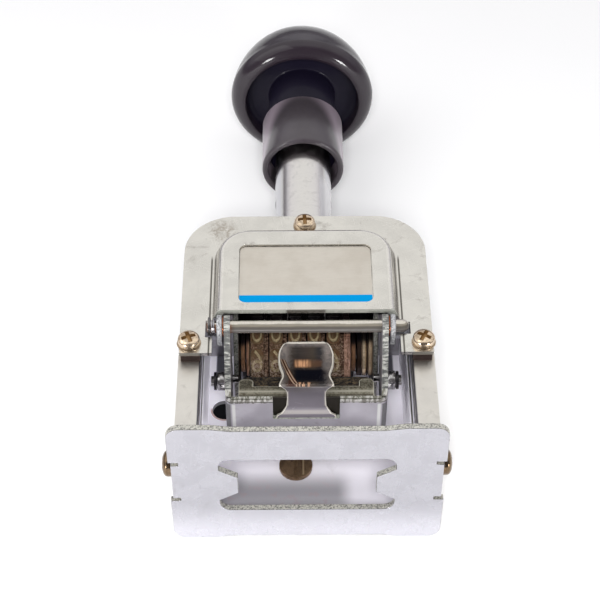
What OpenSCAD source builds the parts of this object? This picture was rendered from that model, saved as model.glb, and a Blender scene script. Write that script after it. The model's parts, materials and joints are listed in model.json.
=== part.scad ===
// Automatic numbering machine with five figure wheels, lying on its back.
// X runs left to right, +Y from the printing face towards the knob and +Z from
// the table up to the front cover. Local lengths are measured from the printing
// face; the finished part is moved so that Y = 0 is half way along it.

/* [Base plate] */
// How far the base plate reaches past the frame on each side
plate_margin = 1.8; // [1.3:0.1:4]
// Depth of the base plate from rear to front
plate_d = 40; // [39.5:0.5:46]
// Thickness of the base plate
plate_t = 1.5; // [1:0.1:1.8]
// Radius of the base plate's corners
plate_corner = 3; // [1:0.5:4]
// How far the long edges step in along their middle
waist_step = 0.7; // [0.2:0.1:1.4]
// Length of the stepped-in middle of the long edges
waist_w = 34; // [20:1:40]
// Length of the slope at each end of the step
waist_slope = 4.5; // [2:0.5:6]
// Space between the pad's arms and the sides of the printing window
window_room = 1.05; // [0.6:0.05:2]
// Depth of the printing window
window_d = 18.5; // [16:0.5:20]
// Radius of the window's corners
window_corner = 2.6; // [1:0.1:3.4]
// How far each tongue reaches into the window
tongue_len = 4.25; // [2:0.25:4.5]
// Width of a tongue at its tip
tongue_tip = 5.6; // [4:0.2:7]
// Width of a tongue at its root
tongue_root = 10.2; // [8:0.2:11]
// Length of each folded ear along the plate's short edge
ear_w = 11.8; // [8:0.2:14]
// Thickness of the folded ears
ear_t = 1.2; // [0.8:0.1:1.4]
// How far each ear reaches back along the frame
ear_len = 9; // [8:0.5:12]
// Width of the bend relief beside each ear
relief_w = 1.1; // [0.6:0.1:2]
// Depth of the bend relief, measured from the ear's outer face
relief_len = 1.7; // [1:0.1:2.4]
// How far the ears and their screws sit forward of the stem's axis
ear_shift = 1.3; // [0:0.1:3]

/* [Frame] */
// Space between the ends of the pad's stop posts and the rails
side_room = 2.2; // [1.6:0.1:5]
// Length of the frame from the printing face to its top
frame_len = 67.4; // [64:0.1:74]
// Radius of the frame's and the cover's top corners
frame_corner = 12; // [8:0.5:14]
// Width of each channel rail
rail_w = 5; // [4.4:0.1:5.2]
// Depth of each channel rail in front of the rear plate
rail_d = 35.2; // [34.8:0.1:36.8]
// Sheet thickness of the rails
rail_t = 1.2; // [0.8:0.1:1.4]
// Sheet thickness of the rear plate
rear_t = 1.2; // [0.8:0.1:1.6]
// Radius of the sight hole in the rear plate
sight_hole_r = 2.9; // [2:0.1:3.5]
// Sideways place of the sight hole
sight_hole_x = -20.2; // [-21:0.1:-17]
// Distance of the sight hole from the printing face
sight_hole_y = 37.5; // [34:0.5:44]
// Width of the guide slots in the rails
guide_slot_w = 6; // [5:0.1:8]
// How far forward of the stem's axis the guide slots sit
guide_slot_shift = 4; // [3:0.1:5]

/* [Cover] */
// Sheet thickness of the cover
cover_t = 1; // [0.8:0.1:1.2]
// Height of the lugs that carry the cover on the rails
lug_h = 1.9; // [1.6:0.1:2.6]
// Length of each lug along the rail
lug_len = 6.4; // [6:0.1:8]
// Distance of the cover's lower edge from the printing face
cover_low = 22.8; // [22:0.1:24]
// How much narrower the cover is than the frame, each side
cover_inset = 0.3; // [0:0.1:0.8]
// Rise of the embossed box above the cover
box_rise = 3.5; // [3.2:0.1:5]
// Distance of the box's top edge below the frame's top
box_low = 8.2; // [8:0.1:11]
// Space between the hangers and the edges of the cover's cut
cut_room = 1.05; // [0.8:0.05:1.3]
// How far the box's walls slope outward
box_slope = 2; // [1.8:0.1:2.2]
// Radius of the box's upper corners
box_corner = 7; // [4:0.5:9]
// Sheet thickness of the box
box_t = 1.2; // [1.1:0.1:1.3]
// Width of the name plate
label_w = 31.2; // [24:0.2:33]
// Distance of the name plate's upper edge below the box's top edge
label_high = 5.2; // [4.5:0.1:10]
// Thickness of the name plate
label_t = 0.4; // [0.2:0.1:0.5]
// Depth of the pressed seat for the name plate
label_seat = 0.7; // [0.5:0.1:0.8]
// Distance of the name plate's lower edge above the box's mouth
label_low = 2.4; // [1.5:0.1:3.5]
// Radius of the name plate's corners
label_corner = 1.8; // [0.3:0.1:2]

/* [Screws] */
// Radius of the cover screws' heads
screw_head_r = 2.75; // [2.5:0.05:3]
// Height of the cover screws' heads
screw_head_h = 1.9; // [1.5:0.1:2.2]
// Radius of the screws' threads
screw_r = 1.5; // [1.2:0.05:1.6]
// Length of the cover screws' threads under the head
screw_len = 6; // [5:0.1:7]
// Radius of the washers
washer_r = 3; // [2.8:0.05:3.2]
// Thickness of the washers
washer_t = 0.5; // [0.3:0.1:0.8]
// Distance of the lower cover screws from the printing face
screw_low = 25.8; // [25.7:0.1:26.5]
// Distance of the upper cover screw below the frame's top
screw_high = 3.4; // [3.2:0.1:3.6]
// Radius of the side screws' heads
side_head_r = 3; // [2.6:0.1:3.4]
// Height of the side screws' heads
side_head_h = 2.5; // [1.8:0.1:2.8]
// Length of the side screws' threads under the head
side_len = 3.6; // [3.2:0.1:4]
// Distance of the side screws from the printing face
side_screw_y = 5.4; // [5.1:0.1:5.8]
// Radius of the slotted stop screw's head
stop_head_r = 4; // [3:0.1:4.5]
// Height of the slotted stop screw's head
stop_head_h = 1.2; // [0.8:0.1:1.8]
// Sideways place of the stop screw
stop_x = -2.5; // [-6:0.5:6]
// Distance of the stop screw from the printing face
stop_y = 19.4; // [16:0.2:22]
// Width of the stop screw's slot
stop_slot_w = 0.9; // [0.6:0.1:1.2]
// Depth of the stop screw's slot
stop_slot_d = 0.6; // [0.4:0.1:0.7]
// Arm length of the cross recess in a screw head
recess_len = 3; // [2.4:0.1:3.4]
// Arm width of the cross recess in a screw head
recess_w = 0.8; // [0.6:0.1:1]
// Depth of the cross recess in a screw head
recess_d = 1; // [0.6:0.1:1.2]

/* [Stem and knob] */
// Outer radius of the stem tube
stem_r = 7.45; // [7:0.05:7.8]
// Wall of the stem tube
stem_wall = 1.2; // [0.9:0.1:1.6]
// How far the bridge that guides the stem stays below the frame's top
bridge_inset = 0.3; // [0:0.1:1]
// Radius of the cross pin that carries the return spring
cross_pin_r = 1.5; // [1:0.1:1.8]
// Radius of the knob at its rim
knob_r = 20; // [18:0.5:22]
// Distance of the knob's rim from the printing face
knob_rim = 135; // [134:0.5:142]
// Height of the knob's dome above its rim
knob_dome = 22.5; // [18:0.5:25]
// Radius of the lip at the knob's rim
knob_lip = 1.9; // [1.4:0.1:2.4]
// Depth of the hollow under the knob's rim
knob_hollow = 4.5; // [3:0.5:7]
// Outer radius of the black sleeve
sleeve_r = 11; // [10.4:0.1:12]
// Wall of the black sleeve
sleeve_wall = 1.8; // [1.4:0.1:2]
// Length of the black sleeve
sleeve_len = 18.5; // [15:0.5:19.5]
// Distance from the sleeve's top to the knob's rim
neck_len = 11; // [9:0.5:13]
// How deep the stem goes into the knob's neck
stem_seat = 12; // [9:0.5:13]
// Mean radius of the return spring
spring_r = 4.6; // [4:0.1:4.8]
// Wire radius of the return spring
spring_wire = 0.5; // [0.4:0.05:0.6]
// Number of turns of the return spring
spring_turns = 18; // [12:1:22]

/* [Carriage and wheels] */
// Travel of the plunger down to the paper
stroke = 28.75; // [28.5:0.05:29]
// Radius of the wheels over the raised figures
type_r = 11.65; // [11.4:0.05:11.8]
// Height of the raised figures
type_h = 0.45; // [0.3:0.05:0.6]
// Width of each raised figure's block around the wheel
block_w = 3.4; // [2.6:0.1:4.6]
// Width of a wheel's figure ring
ring_w = 3.2; // [2.8:0.1:3.4]
// Width of a wheel's ratchet
ratchet_w = 1; // [0.9:0.1:1.2]
// Outer radius of the ratchets
ratchet_r = 9.5; // [8.5:0.1:9.8]
// Depth of the ratchet teeth
tooth_d = 1.3; // [0.8:0.1:1.6]
// Gap between neighbouring wheels
wheel_gap = 0.3; // [0.2:0.05:0.35]
// Radius of the wheels' shaft
shaft_r = 2; // [1.6:0.1:2.4]
// Space on the shaft left of the wheels
left_space = 2.75; // [2.6:0.05:3]
// Space on the shaft right of the wheels
right_space = 6.75; // [6.5:0.05:7]
// Thickness of the carriage's cheeks
cheek_t = 1.2; // [1:0.05:1.3]
// How far the cheeks reach behind the shaft's axis
cheek_back = 11; // [9:0.5:13]
// Thickness of the yoke that joins cheeks and stem
yoke_t = 2.4; // [2:0.1:2.6]
// Length of the guide blocks along the rails
guide_len = 6; // [4:0.5:6.4]
// Radius of the hubs and collars on the shaft
collar_r = 6; // [4.5:0.1:7]
// Thickness of the pawl frame's arms
pawl_arm_t = 1; // [0.8:0.1:1.1]
// Radius of the pawl frame's cross bar
pawl_bar_r = 1.1; // [0.8:0.1:1.3]
// Thickness of the unit ratchet
unit_t = 1.5; // [1:0.1:1.7]
// Thickness of the detent comb's bar along the stem
comb_t = 2.4; // [1.6:0.1:3]
// Depth of the detent comb's bar from rear to front
comb_d = 3; // [2:0.1:3.4]
// How far the detent comb's bar sits in front of the wheels' axis
comb_front = 9.8; // [9.4:0.1:10.2]
// How far the detent comb's fingers reach past the figures
comb_reach = 3.6; // [3:0.1:4.4]

/* [Ink pad] */
// Radius of the rod that the ink pad swings on
rod_r = 1.5; // [1.2:0.05:1.6]
// How far the rod's axis sits in front of the cover
rod_front = 0.7; // [0.5:0.1:0.9]
// How far the rod sits below the box's mouth
rod_drop = 2.6; // [2.4:0.1:2.8]
// How far the rod sits below the wheels' axis
rod_below = 10.2; // [9.8:0.1:10.4]
// How far the rod reaches past the hangers on each side
rod_end = 1.4; // [1.2:0.1:1.6]
// Wire radius of the pad's torsion spring
bail_wire = 0.2; // [0.14:0.02:0.22]
// Number of turns of the pad's torsion spring
bail_turns = 2; // [1:1:2]
// Thickness of the swing arms
arm_t = 1.4; // [1:0.1:1.5]
// Radius of the eyes around the rod
eye_r = 2.7; // [2.4:0.1:2.7]
// Thickness of the fixed hangers
hanger_t = 1.2; // [0.9:0.1:1.3]
// How far the hangers reach along the frame past the rod
hanger_len = 10; // [8:0.5:12]
// How far the hangers reach back behind the rod
hanger_depth = 9.4; // [8:0.2:11]
// Length of the feet that carry the hangers on the rails
hanger_foot = 5.6; // [3:0.1:6]
// Thickness of the web below the pad
web_t = 1.2; // [1:0.1:1.4]
// Depth of the web from rear to front
web_d = 12.4; // [12:0.1:12.8]
// How far the web's centre is in front of the wheels' axis
web_shift = -0.2; // [-0.5:0.1:0.2]
// Thickness of the tray's sheet
tray_t = 0.6; // [0.4:0.1:0.8]
// Height of the tray's rim
tray_h = 3.4; // [2.4:0.1:4]
// Height of the tray's end clips
clip_h = 5.6; // [4.4:0.1:6.2]
// Width of the tray's end clips
clip_w = 3.4; // [2.4:0.1:4.4]
// Thickness of the felt pad
felt_t = 6.7; // [6.2:0.1:6.8]
// Width of the finger tab's neck
tab_w = 9.2; // [7:0.2:10]
// Width of the finger tab's ends
tab_end_w = 12.4; // [10.6:0.2:13.4]
// Sheet thickness of the finger tab
tab_t = 0.8; // [0.5:0.1:0.9]
// How far the tab's neck reaches in front of the web
tab_reach = 6.4; // [5.4:0.1:6.6]
// How far the tab drops towards the paper at its fold
tab_drop = 1.4; // [0.6:0.1:1.8]
// Height of the tab's scoop above its fold
tab_h = 13.4; // [10:0.1:13.6]
// How far the scoop is hollowed
tab_hollow = 1.4; // [0.8:0.1:1.8]
// Swing of the ink pad over the full stroke, in degrees
swing = 90; // [88:0.5:92]
// Radius of the drive pins
drive_pin_r = 1; // [0.8:0.1:1.2]
// Distance of the drive pins from the rod
drive_pin_reach = 18.3; // [17.8:0.1:18.6]
// Radius of the stop posts
post_r = 1.2; // [0.9:0.1:1.4]
// How far the stop posts reach past the pad's arms
post_len = 3.2; // [2.8:0.1:4]
// Distance of the stop posts below the rod
post_down = 6.7; // [6:0.1:7.5]
// Distance of the stop posts behind the rod
post_back = 11.3; // [10.5:0.1:12]

/* [Clearances] */
// Sideways gap between parts that slide past each other
slide_gap = 0.35; // [0.25:0.05:0.4]
// Radial clearance of the turning parts on their shafts
run_gap = 0.05; // [0.02:0.01:0.08]
// Radial clearance of the stem in its bridge
stem_gap = 0.08; // [0.04:0.01:0.1]
// Clearance around fixed pins, screws and seats
fit_gap = 0.02; // [0.01:0.01:0.05]
// Gap between the felt and the figures at rest
felt_gap = 0.35; // [0.3:0.05:0.5]

/* [Hidden] */
FIGURES = 10;
WHEELS = 5;
step_angle = 360 / FIGURES;
overlap = 0.01;
$fn = 64;

// Heights above the table
axis_z = plate_d / 2;
rail_front = rear_t + rail_d;
cover_back = rail_front + lug_h;
cover_front = cover_back + cover_t;
box_front = cover_front + box_rise;
rod_z = cover_front + rod_front;

// Distances from the printing face
axis_y = type_r + stroke;
yoke_low = axis_y + type_r + 0.55;
yoke_top = yoke_low + yoke_t;
bridge_low = yoke_top + 0.4;
bridge_top = frame_len - bridge_inset;
cross_pin_y = (bridge_low + bridge_top) / 2;
rod_y = axis_y - rod_below;
box_mouth = rod_y + rod_drop;
felt_top = axis_y - type_r - felt_gap;
web_top = felt_top - felt_t - tray_t;
web_low = web_top - web_t;
web_back = axis_z + web_shift - web_d / 2;
web_front = web_back + web_d;
sleeve_top = knob_rim - neck_len;
sleeve_low = sleeve_top - sleeve_len;
stem_top = sleeve_top;
whole_len = knob_rim + knob_dome;
box_top = frame_len - box_low;
screw_top = frame_len - screw_high;
label_y = box_mouth + label_low;
label_len = box_top - label_high - label_y;

// Sideways places, from the middle outward
pitch = ring_w + ratchet_w + wheel_gap;
stack_w = WHEELS * pitch - wheel_gap;
cheek_in = (left_space + stack_w + right_space) / 2;
cheek_out = cheek_in + cheek_t;
arm_in = cheek_out + slide_gap;
arm_out = arm_in + arm_t;
hanger_in = arm_out + slide_gap + 0.1;
hanger_out = hanger_in + hanger_t;
cut_half = hanger_out + cut_room;
box_half = cut_half - box_slope + 0.6;
window_w = 2 * (arm_out + window_room);
rail_in = arm_out + post_len + side_room;
rail_out = rail_in + rail_w;
rail_mid = rail_in + rail_w / 2;
plate_w = 2 * (rail_out + plate_margin);
ear_out = rail_out + fit_gap + ear_t;
cover_half = rail_out - cover_inset;
clip_x = hanger_out + rod_end;
clip_r = rod_r + 0.7;
rod_left = clip_x + 0.9;
rod_nose = clip_x + 0.1;
rod_right = rod_nose + 1.6;
tray_half = cheek_in - 0.1;
stack_left = -cheek_in + left_space;

// Swing of the pad per millimetre of stroke, in degrees
swing_rate = swing / stroke;
pin_speed = drive_pin_reach * swing_rate * PI / 180;
pin_turned = [for (i = [0:16]) swing * i / 16];

module placed() {
    translate([0, -whole_len / 2, 0]) children();
}

// Cylinders along each axis
module rod_x(x0, x1, y, z, r) {
    translate([x0, y, z]) rotate([0, 90, 0]) cylinder(h = x1 - x0, r = r);
}

module rod_y_axis(y0, y1, x, z, r) {
    translate([x, y0, z]) rotate([-90, 0, 0]) cylinder(h = y1 - y0, r = r);
}

module rod_z_axis(z0, z1, x, y, r) {
    translate([x, y, z0]) cylinder(h = z1 - z0, r = r);
}

// A flat shape drawn in Y and Z, made solid from x0 to x1
module side_sheet(x0, x1) {
    translate([x0, 0, 0]) rotate([90, 0, 90]) linear_extrude(x1 - x0) children();
}

// A flat shape drawn in X and Z, made solid from y0 to y1
module face_sheet(y0, y1) {
    translate([0, y1, 0]) rotate([90, 0, 0]) linear_extrude(y1 - y0) children();
}

// A flat shape drawn in X and Y, made solid from z0 to z1
module flat_sheet(z0, z1) {
    translate([0, 0, z0]) linear_extrude(z1 - z0) children();
}

// A box between two corners
module block(low, high) {
    translate(low) cube(high - low);
}

// The same piece on the left and on the right
module both_sides() {
    children();
    mirror([1, 0, 0]) children();
}

module rounded(x0, x1, y0, y1, r) {
    translate([x0 + r, y0]) square([x1 - x0 - 2 * r, y1 - y0]);
    translate([x0, y0 + r]) square([x1 - x0, y1 - y0 - 2 * r]);
    for (x = [x0 + r, x1 - r], y = [y0 + r, y1 - r]) translate([x, y]) circle(r);
}

// A rectangle whose two corners at the far end of Y are round
module round_top(half, y0, y1, r) {
    translate([-half, y0]) square([2 * half, y1 - y0 - r]);
    translate([-half + r, y0]) square([2 * (half - r), y1 - y0]);
    for (x = [-half + r, half - r]) translate([x, y1 - r]) circle(r);
}

// ---- Base plate ----

module window_shape() {
    difference() {
        rounded(-window_w / 2, window_w / 2, axis_z - window_d / 2, axis_z + window_d / 2, window_corner);
        for (side = [-1, 1]) {
            polygon([
                [side * (window_w / 2 + 1), axis_z - tongue_root / 2 - 1],
                [side * (window_w / 2 - tongue_len), axis_z - tongue_tip / 2],
                [side * (window_w / 2 - tongue_len), axis_z + tongue_tip / 2],
                [side * (window_w / 2 + 1), axis_z + tongue_root / 2 + 1]
            ]);
        }
    }
}

module waist_cut(z, turn) {
    half = waist_w / 2;
    polygon([
        [-half - waist_slope, z - turn],
        [-half - waist_slope, z],
        [-half, z + turn * waist_step],
        [half, z + turn * waist_step],
        [half + waist_slope, z],
        [half + waist_slope, z - turn]
    ]);
}

module base_plate() {
    ear_z = axis_z + ear_shift;
    color("gainsboro") placed() difference() {
        union() {
            face_sheet(0, plate_t) difference() {
                rounded(-plate_w / 2, plate_w / 2, 0, plate_d, plate_corner);
                window_shape();
                waist_cut(0, 1);
                waist_cut(plate_d, -1);
                for (side = [-1, 1]) {
                    translate([side * (ear_out + 5), ear_z]) {
                        square([10, ear_w + 2 * relief_w], center = true);
                    }
                    for (end = [-1, 1]) {
                        translate([side * (ear_out - relief_len + 5), ear_z + end * (ear_w + relief_w) / 2])
                            square([10, relief_w], center = true);
                    }
                }
            }
            both_sides() {
                block([rail_out + fit_gap, 0, ear_z - ear_w / 2], [ear_out, ear_len, ear_z + ear_w / 2]);
            }
        }
        both_sides() rod_x(rail_out - 1, ear_out + 1, side_screw_y, ear_z, screw_r + fit_gap);
    }
}

// ---- Frame ----

module rear_plate() {
    color("lavender") placed() flat_sheet(0, rear_t) difference() {
        round_top(rail_out, plate_t, frame_len, frame_corner);
        translate([sight_hole_x, sight_hole_y]) circle(sight_hole_r);
        translate([stop_x, stop_y]) circle(screw_r + fit_gap);
    }
}

module right_rail_shape() {
    difference() {
        union() {
            block([rail_in, plate_t, rear_t], [rail_in + rail_t, bridge_low, rail_front]);
            block([rail_out - rail_t, plate_t, rear_t], [rail_out, bridge_low, rail_front]);
            block([rail_in, plate_t, rail_front - rail_t], [rail_out, bridge_low, rail_front]);
        }
        rod_x(rail_out - rail_t - 1, rail_out + 1, side_screw_y, axis_z + ear_shift, screw_r + fit_gap);
        rod_z_axis(cover_front - screw_len, rail_front + 1, rail_mid, screw_low, screw_r + fit_gap);
        block(
            [rail_in - 1, axis_y - stroke, axis_z + guide_slot_shift - guide_slot_w / 2],
            [rail_in + rail_t + 1, yoke_low, axis_z + guide_slot_shift + guide_slot_w / 2]
        );
    }
}

module left_rail() {
    color("silver") placed() mirror([1, 0, 0]) right_rail_shape();
}

module right_rail() {
    color("silver") placed() right_rail_shape();
}

module top_bridge() {
    color("darkgray") placed() difference() {
        flat_sheet(rear_t, cover_back) intersection() {
            round_top(rail_out - 1, bridge_low - frame_corner, bridge_top, frame_corner - 1);
            translate([-rail_out, bridge_low]) square([2 * rail_out, bridge_top - bridge_low]);
        }
        rod_y_axis(bridge_low - 1, bridge_top + 1, 0, axis_z, stem_r + stem_gap);
        rod_x(-rail_out - 1, rail_out + 1, cross_pin_y, axis_z, cross_pin_r + fit_gap);
        rod_z_axis(cover_back - screw_len, cover_back + 1, 0, screw_top, screw_r + fit_gap);
    }
}

module cross_pin() {
    color("gray") placed() rod_x(-rail_out + 3, rail_out - 3, cross_pin_y, axis_z, cross_pin_r);
}

// ---- Cover ----

module box_solid(half, mouth, top, height, corner, base) {
    hull() {
        flat_sheet(base, base + 0.02) {
            round_top(half + box_slope, mouth, top + box_slope, corner + box_slope, $fn = 32);
        }
        flat_sheet(height - 0.02, height) round_top(half, mouth, top, corner, $fn = 32);
    }
}

module cover() {
    color("whitesmoke") placed() difference() {
        union() {
            flat_sheet(cover_back, cover_front) difference() {
                round_top(cover_half, cover_low, frame_len, frame_corner);
                translate([-cut_half, cover_low - 1]) square([2 * cut_half, box_mouth - cover_low + 1]);
                translate([-rod_left - slide_gap, rod_y - clip_r - slide_gap]) {
                    square([10, 2 * (clip_r + slide_gap)]);
                }
                translate([rod_right + slide_gap - 10, rod_y - rod_r - slide_gap]) {
                    square([10, 2 * (rod_r + slide_gap)]);
                }
            }
            box_solid(box_half, box_mouth, box_top, box_front, box_corner, cover_back);
        }
        box_solid(
            box_half - box_t, box_mouth - 1, box_top - box_t,
            box_front - box_t, box_corner - box_t, cover_back - 1
        );
        flat_sheet(box_front - label_seat, box_front + 1) {
            rounded(
                -label_w / 2 - fit_gap, label_w / 2 + fit_gap,
                label_y - fit_gap, label_y + label_len + fit_gap, label_corner
            );
        }
        both_sides() rod_z_axis(cover_back - 1, cover_front + 1, rail_mid, screw_low, screw_r + fit_gap);
        rod_z_axis(cover_back - 1, cover_front + 1, 0, screw_top, screw_r + fit_gap);
    }
}

module name_plate() {
    seat = box_front - label_seat;
    color("lightsteelblue") placed() flat_sheet(seat, seat + label_t) {
        rounded(-label_w / 2, label_w / 2, label_y, label_y + label_len, label_corner);
    }
}

module cover_lugs() {
    color("saddlebrown") placed() both_sides() difference() {
        block(
            [rail_in + fit_gap, cover_low, rail_front],
            [rail_out - 0.6, cover_low + lug_len, cover_back]
        );
        rod_z_axis(rail_front - 1, cover_back + 1, rail_mid, screw_low, screw_r + fit_gap);
    }
}

// The places of the three cover screws
module at_cover_screws() {
    for (x = [-rail_mid, rail_mid]) translate([x, screw_low, cover_front]) children();
    translate([0, screw_top, cover_front]) children();
}

module cross_recess(top) {
    for (turn = [0, 90]) {
        rotate(turn) translate([0, 0, top - recess_d / 2 + overlap]) {
            cube([recess_len, recess_w, recess_d + 2 * overlap], center = true);
        }
    }
}

module pan_screw(head_r, head_h, length) {
    edge = head_h * 0.45;
    difference() {
        union() {
            translate([0, 0, -length]) cylinder(h = length + overlap, r = screw_r);
            cylinder(h = edge, r = head_r);
            translate([0, 0, edge - overlap]) {
                cylinder(h = head_h - edge + overlap, r1 = head_r, r2 = head_r * 0.72);
            }
        }
        cross_recess(head_h);
    }
}

module cover_screws() {
    color("burlywood") placed() at_cover_screws() translate([0, 0, washer_t]) {
        pan_screw(screw_head_r, screw_head_h, screw_len);
    }
}

module cover_washers() {
    color("khaki") placed() at_cover_screws() difference() {
        cylinder(h = washer_t, r = washer_r);
        translate([0, 0, -1]) cylinder(h = washer_t + 2, r = screw_r + fit_gap);
    }
}

module side_screws() {
    seat = [ear_out, side_screw_y, axis_z + ear_shift];
    color("peru") placed() both_sides() translate(seat) rotate([0, 90, 0]) {
        pan_screw(side_head_r, side_head_h, side_len);
    }
}

module stop_screw() {
    color("darkgoldenrod") placed() translate([stop_x, stop_y, rear_t]) difference() {
        union() {
            cylinder(h = stop_head_h, r = stop_head_r);
            translate([0, 0, -rear_t]) cylinder(h = rear_t + overlap, r = screw_r);
        }
        translate([-stop_slot_w / 2, -stop_head_r - 1, stop_head_h - stop_slot_d]) {
            cube([stop_slot_w, 2 * stop_head_r + 2, stop_slot_d + 1]);
        }
    }
}

// ---- Stem and knob ----

// A profile of radius and distance from the printing face, turned about the stem's axis
module turned() {
    translate([0, 0, axis_z]) rotate([-90, 0, 0]) rotate_extrude() children();
}

module stem() {
    color("silver") placed() difference() {
        turned() translate([stem_r - stem_wall, yoke_low]) square([stem_wall, stem_top - yoke_low]);
        block(
            [-stem_r - 1, cross_pin_y - cross_pin_r - slide_gap, axis_z - cross_pin_r - slide_gap],
            [stem_r + 1, cross_pin_y + stroke + cross_pin_r + slide_gap, axis_z + cross_pin_r + slide_gap]
        );
    }
}

module knob() {
    neck_r = sleeve_r - sleeve_wall - fit_gap;
    bore_r = stem_r + fit_gap;
    spigot = stem_top - stem_seat;
    lip_x = knob_r - knob_lip;
    hollow_r = lip_x - knob_lip - neck_r - 1.5;
    roof = knob_rim - knob_lip + knob_hollow;
    color("black") placed() turned() polygon(concat(
        [for (a = [90:-6:0]) [knob_r * cos(a), knob_rim + knob_dome * sin(a)]],
        [for (a = [-15:-15:-165]) [lip_x + knob_lip * cos(a), knob_rim + knob_lip * sin(a)]],
        [for (a = [0:15:90]) [neck_r + 1.5 + hollow_r * cos(a), knob_rim + (roof - knob_rim) * sin(a)]],
        [[neck_r, roof - 1.5], [neck_r, spigot], [bore_r, spigot], [bore_r, stem_top], [0, stem_top]]
    ));
}

module knob_sleeve() {
    mid_r = sleeve_r - sleeve_wall / 2;
    color("dimgray") placed() turned() {
        translate([sleeve_r - sleeve_wall, sleeve_low + sleeve_wall / 2]) {
            square([sleeve_wall, sleeve_len - sleeve_wall / 2]);
        }
        translate([mid_r, sleeve_low + sleeve_wall / 2]) circle(sleeve_wall / 2);
    }
}

function coil_ring(r, wire, turn, z, sides) = [
    for (j = [0:sides - 1]) let (b = 360 * j / sides)
        [(r + wire * cos(b)) * cos(turn), (r + wire * cos(b)) * sin(turn), z + wire * sin(b)]
];

// A coil of round wire that climbs along Z from 0 to height
module coil(r, wire, height, turns, steps, sides) {
    last = turns * steps;
    climb = height - 2 * wire;
    points = [for (i = [0:last]) each coil_ring(r, wire, 360 * i / steps, wire + climb * i / last, sides)];
    skin = [
        for (i = [0:last - 1], j = [0:sides - 1])
            let (a = i * sides + j, b = i * sides + (j + 1) % sides)
                [a, a + sides, b + sides, b]
    ];
    start = [for (j = [0:sides - 1]) j];
    finish = [for (j = [sides - 1:-1:0]) last * sides + j];
    polyhedron(points, concat([start, finish], skin));
}

module return_spring() {
    low = cross_pin_y + cross_pin_r + fit_gap;
    color("lightgray") placed() translate([0, low, axis_z]) rotate([-90, 0, 0]) {
        coil(spring_r, spring_wire, stem_top - fit_gap - low, spring_turns, 12, 6);
    }
}

// ---- Carriage ----

cheek_front = rod_z - rod_r - slide_gap;
yoke_front = cheek_front - 2;

// Where a drive pin's axis runs beside a cheek, after the pad has swung by this angle
function pin_path(turn) = [
    rod_y + turn / swing_rate - drive_pin_reach * sin(turn),
    rod_z - drive_pin_reach * cos(turn)
];
function pin_heading(turn) = [1 - pin_speed * cos(turn), pin_speed * sin(turn)];
function pin_side(turn) = let (t = pin_heading(turn)) [t.y, -t.x] / norm(t);
function cam_point(turn) = pin_path(turn) + (drive_pin_r + slide_gap) * pin_side(turn);

module cheek_shape() {
    cheek_low = rod_y + drive_pin_r + slide_gap;
    cam = [for (turn = pin_turned) if (turn > 0 && cam_point(turn).y < cheek_front - 0.2) cam_point(turn)];
    last = cam[len(cam) - 1];
    difference() {
        polygon(concat(
            [
                [yoke_top, axis_z - cheek_back],
                [cheek_low + 2, axis_z - cheek_back],
                [cheek_low, axis_z - cheek_back + 2]
            ],
            [[cheek_low, cam[0].y - 1]],
            cam,
            [[last.x + 1.5 * (cheek_front - last.y), cheek_front], [yoke_top, cheek_front]]
        ));
        translate([axis_y, axis_z]) circle(shaft_r + fit_gap);
    }
}

module left_cheek() {
    color("lightslategray") placed() side_sheet(-cheek_out, -cheek_in) cheek_shape();
}

module right_cheek() {
    color("lightslategray") placed() side_sheet(cheek_in, cheek_out) cheek_shape();
}

module yoke() {
    color("slategray") placed() difference() {
        block([-cheek_in, yoke_low, axis_z - cheek_back], [cheek_in, yoke_top, yoke_front]);
        rod_y_axis(yoke_low - 1, yoke_top + 1, 0, axis_z, stem_r + fit_gap);
    }
}

module guide_blocks() {
    mid = axis_z + guide_slot_shift;
    half = guide_slot_w / 2 - slide_gap;
    top = yoke_low - 0.4;
    color("dimgray") placed() both_sides() {
        block([cheek_out, top - guide_len, mid - half], [rail_in + rail_t - 0.2, top, mid + half]);
    }
}

module wheel_shaft() {
    color("silver") placed() rod_x(-cheek_out, cheek_out, axis_y, axis_z, shaft_r);
}

module collar(x0, x1, r) {
    placed() side_sheet(x0, x1) translate([axis_y, axis_z]) difference() {
        circle(r);
        circle(shaft_r + fit_gap);
    }
}

module left_collar() {
    color("darkgoldenrod") collar(-cheek_in + 2 * slide_gap + pawl_arm_t, stack_left - slide_gap, collar_r);
}

module right_collar() {
    start = stack_left + stack_w + unit_t + pawl_arm_t + 2 * slide_gap;
    color("goldenrod") collar(start, cheek_in, collar_r);
}

// The middle of the gap beside wheel i's figure ring
function gap_x(i) = stack_left + i * pitch + ring_w + (ratchet_w + wheel_gap) / 2;
finger_w = (ratchet_w + wheel_gap) * 0.6;
finger_r = ratchet_r + 0.3;

module detent_comb() {
    root_r = type_r + comb_reach;
    color("silver") placed() {
        block(
            [-cheek_in + 0.5, yoke_low - comb_t, axis_z + comb_front],
            [stack_left + stack_w + 0.5, yoke_low, axis_z + comb_front + comb_d]
        );
        for (i = [0:WHEELS - 1]) side_sheet(gap_x(i) - finger_w / 2, gap_x(i) + finger_w / 2) {
            translate([axis_y, axis_z]) rotate(45) translate([finger_r, -0.5]) {
                square([root_r - finger_r, 1]);
            }
        }
    }
}

// ---- Figure wheels ----

// Each tooth rises slowly to its tip and drops straight to the next root
module ratchet_shape(r, depth) {
    polygon([
        for (i = [0:FIGURES - 1], drop = [0, depth])
            (r - drop) * [cos(i * step_angle), sin(i * step_angle)]
    ]);
}

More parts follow.
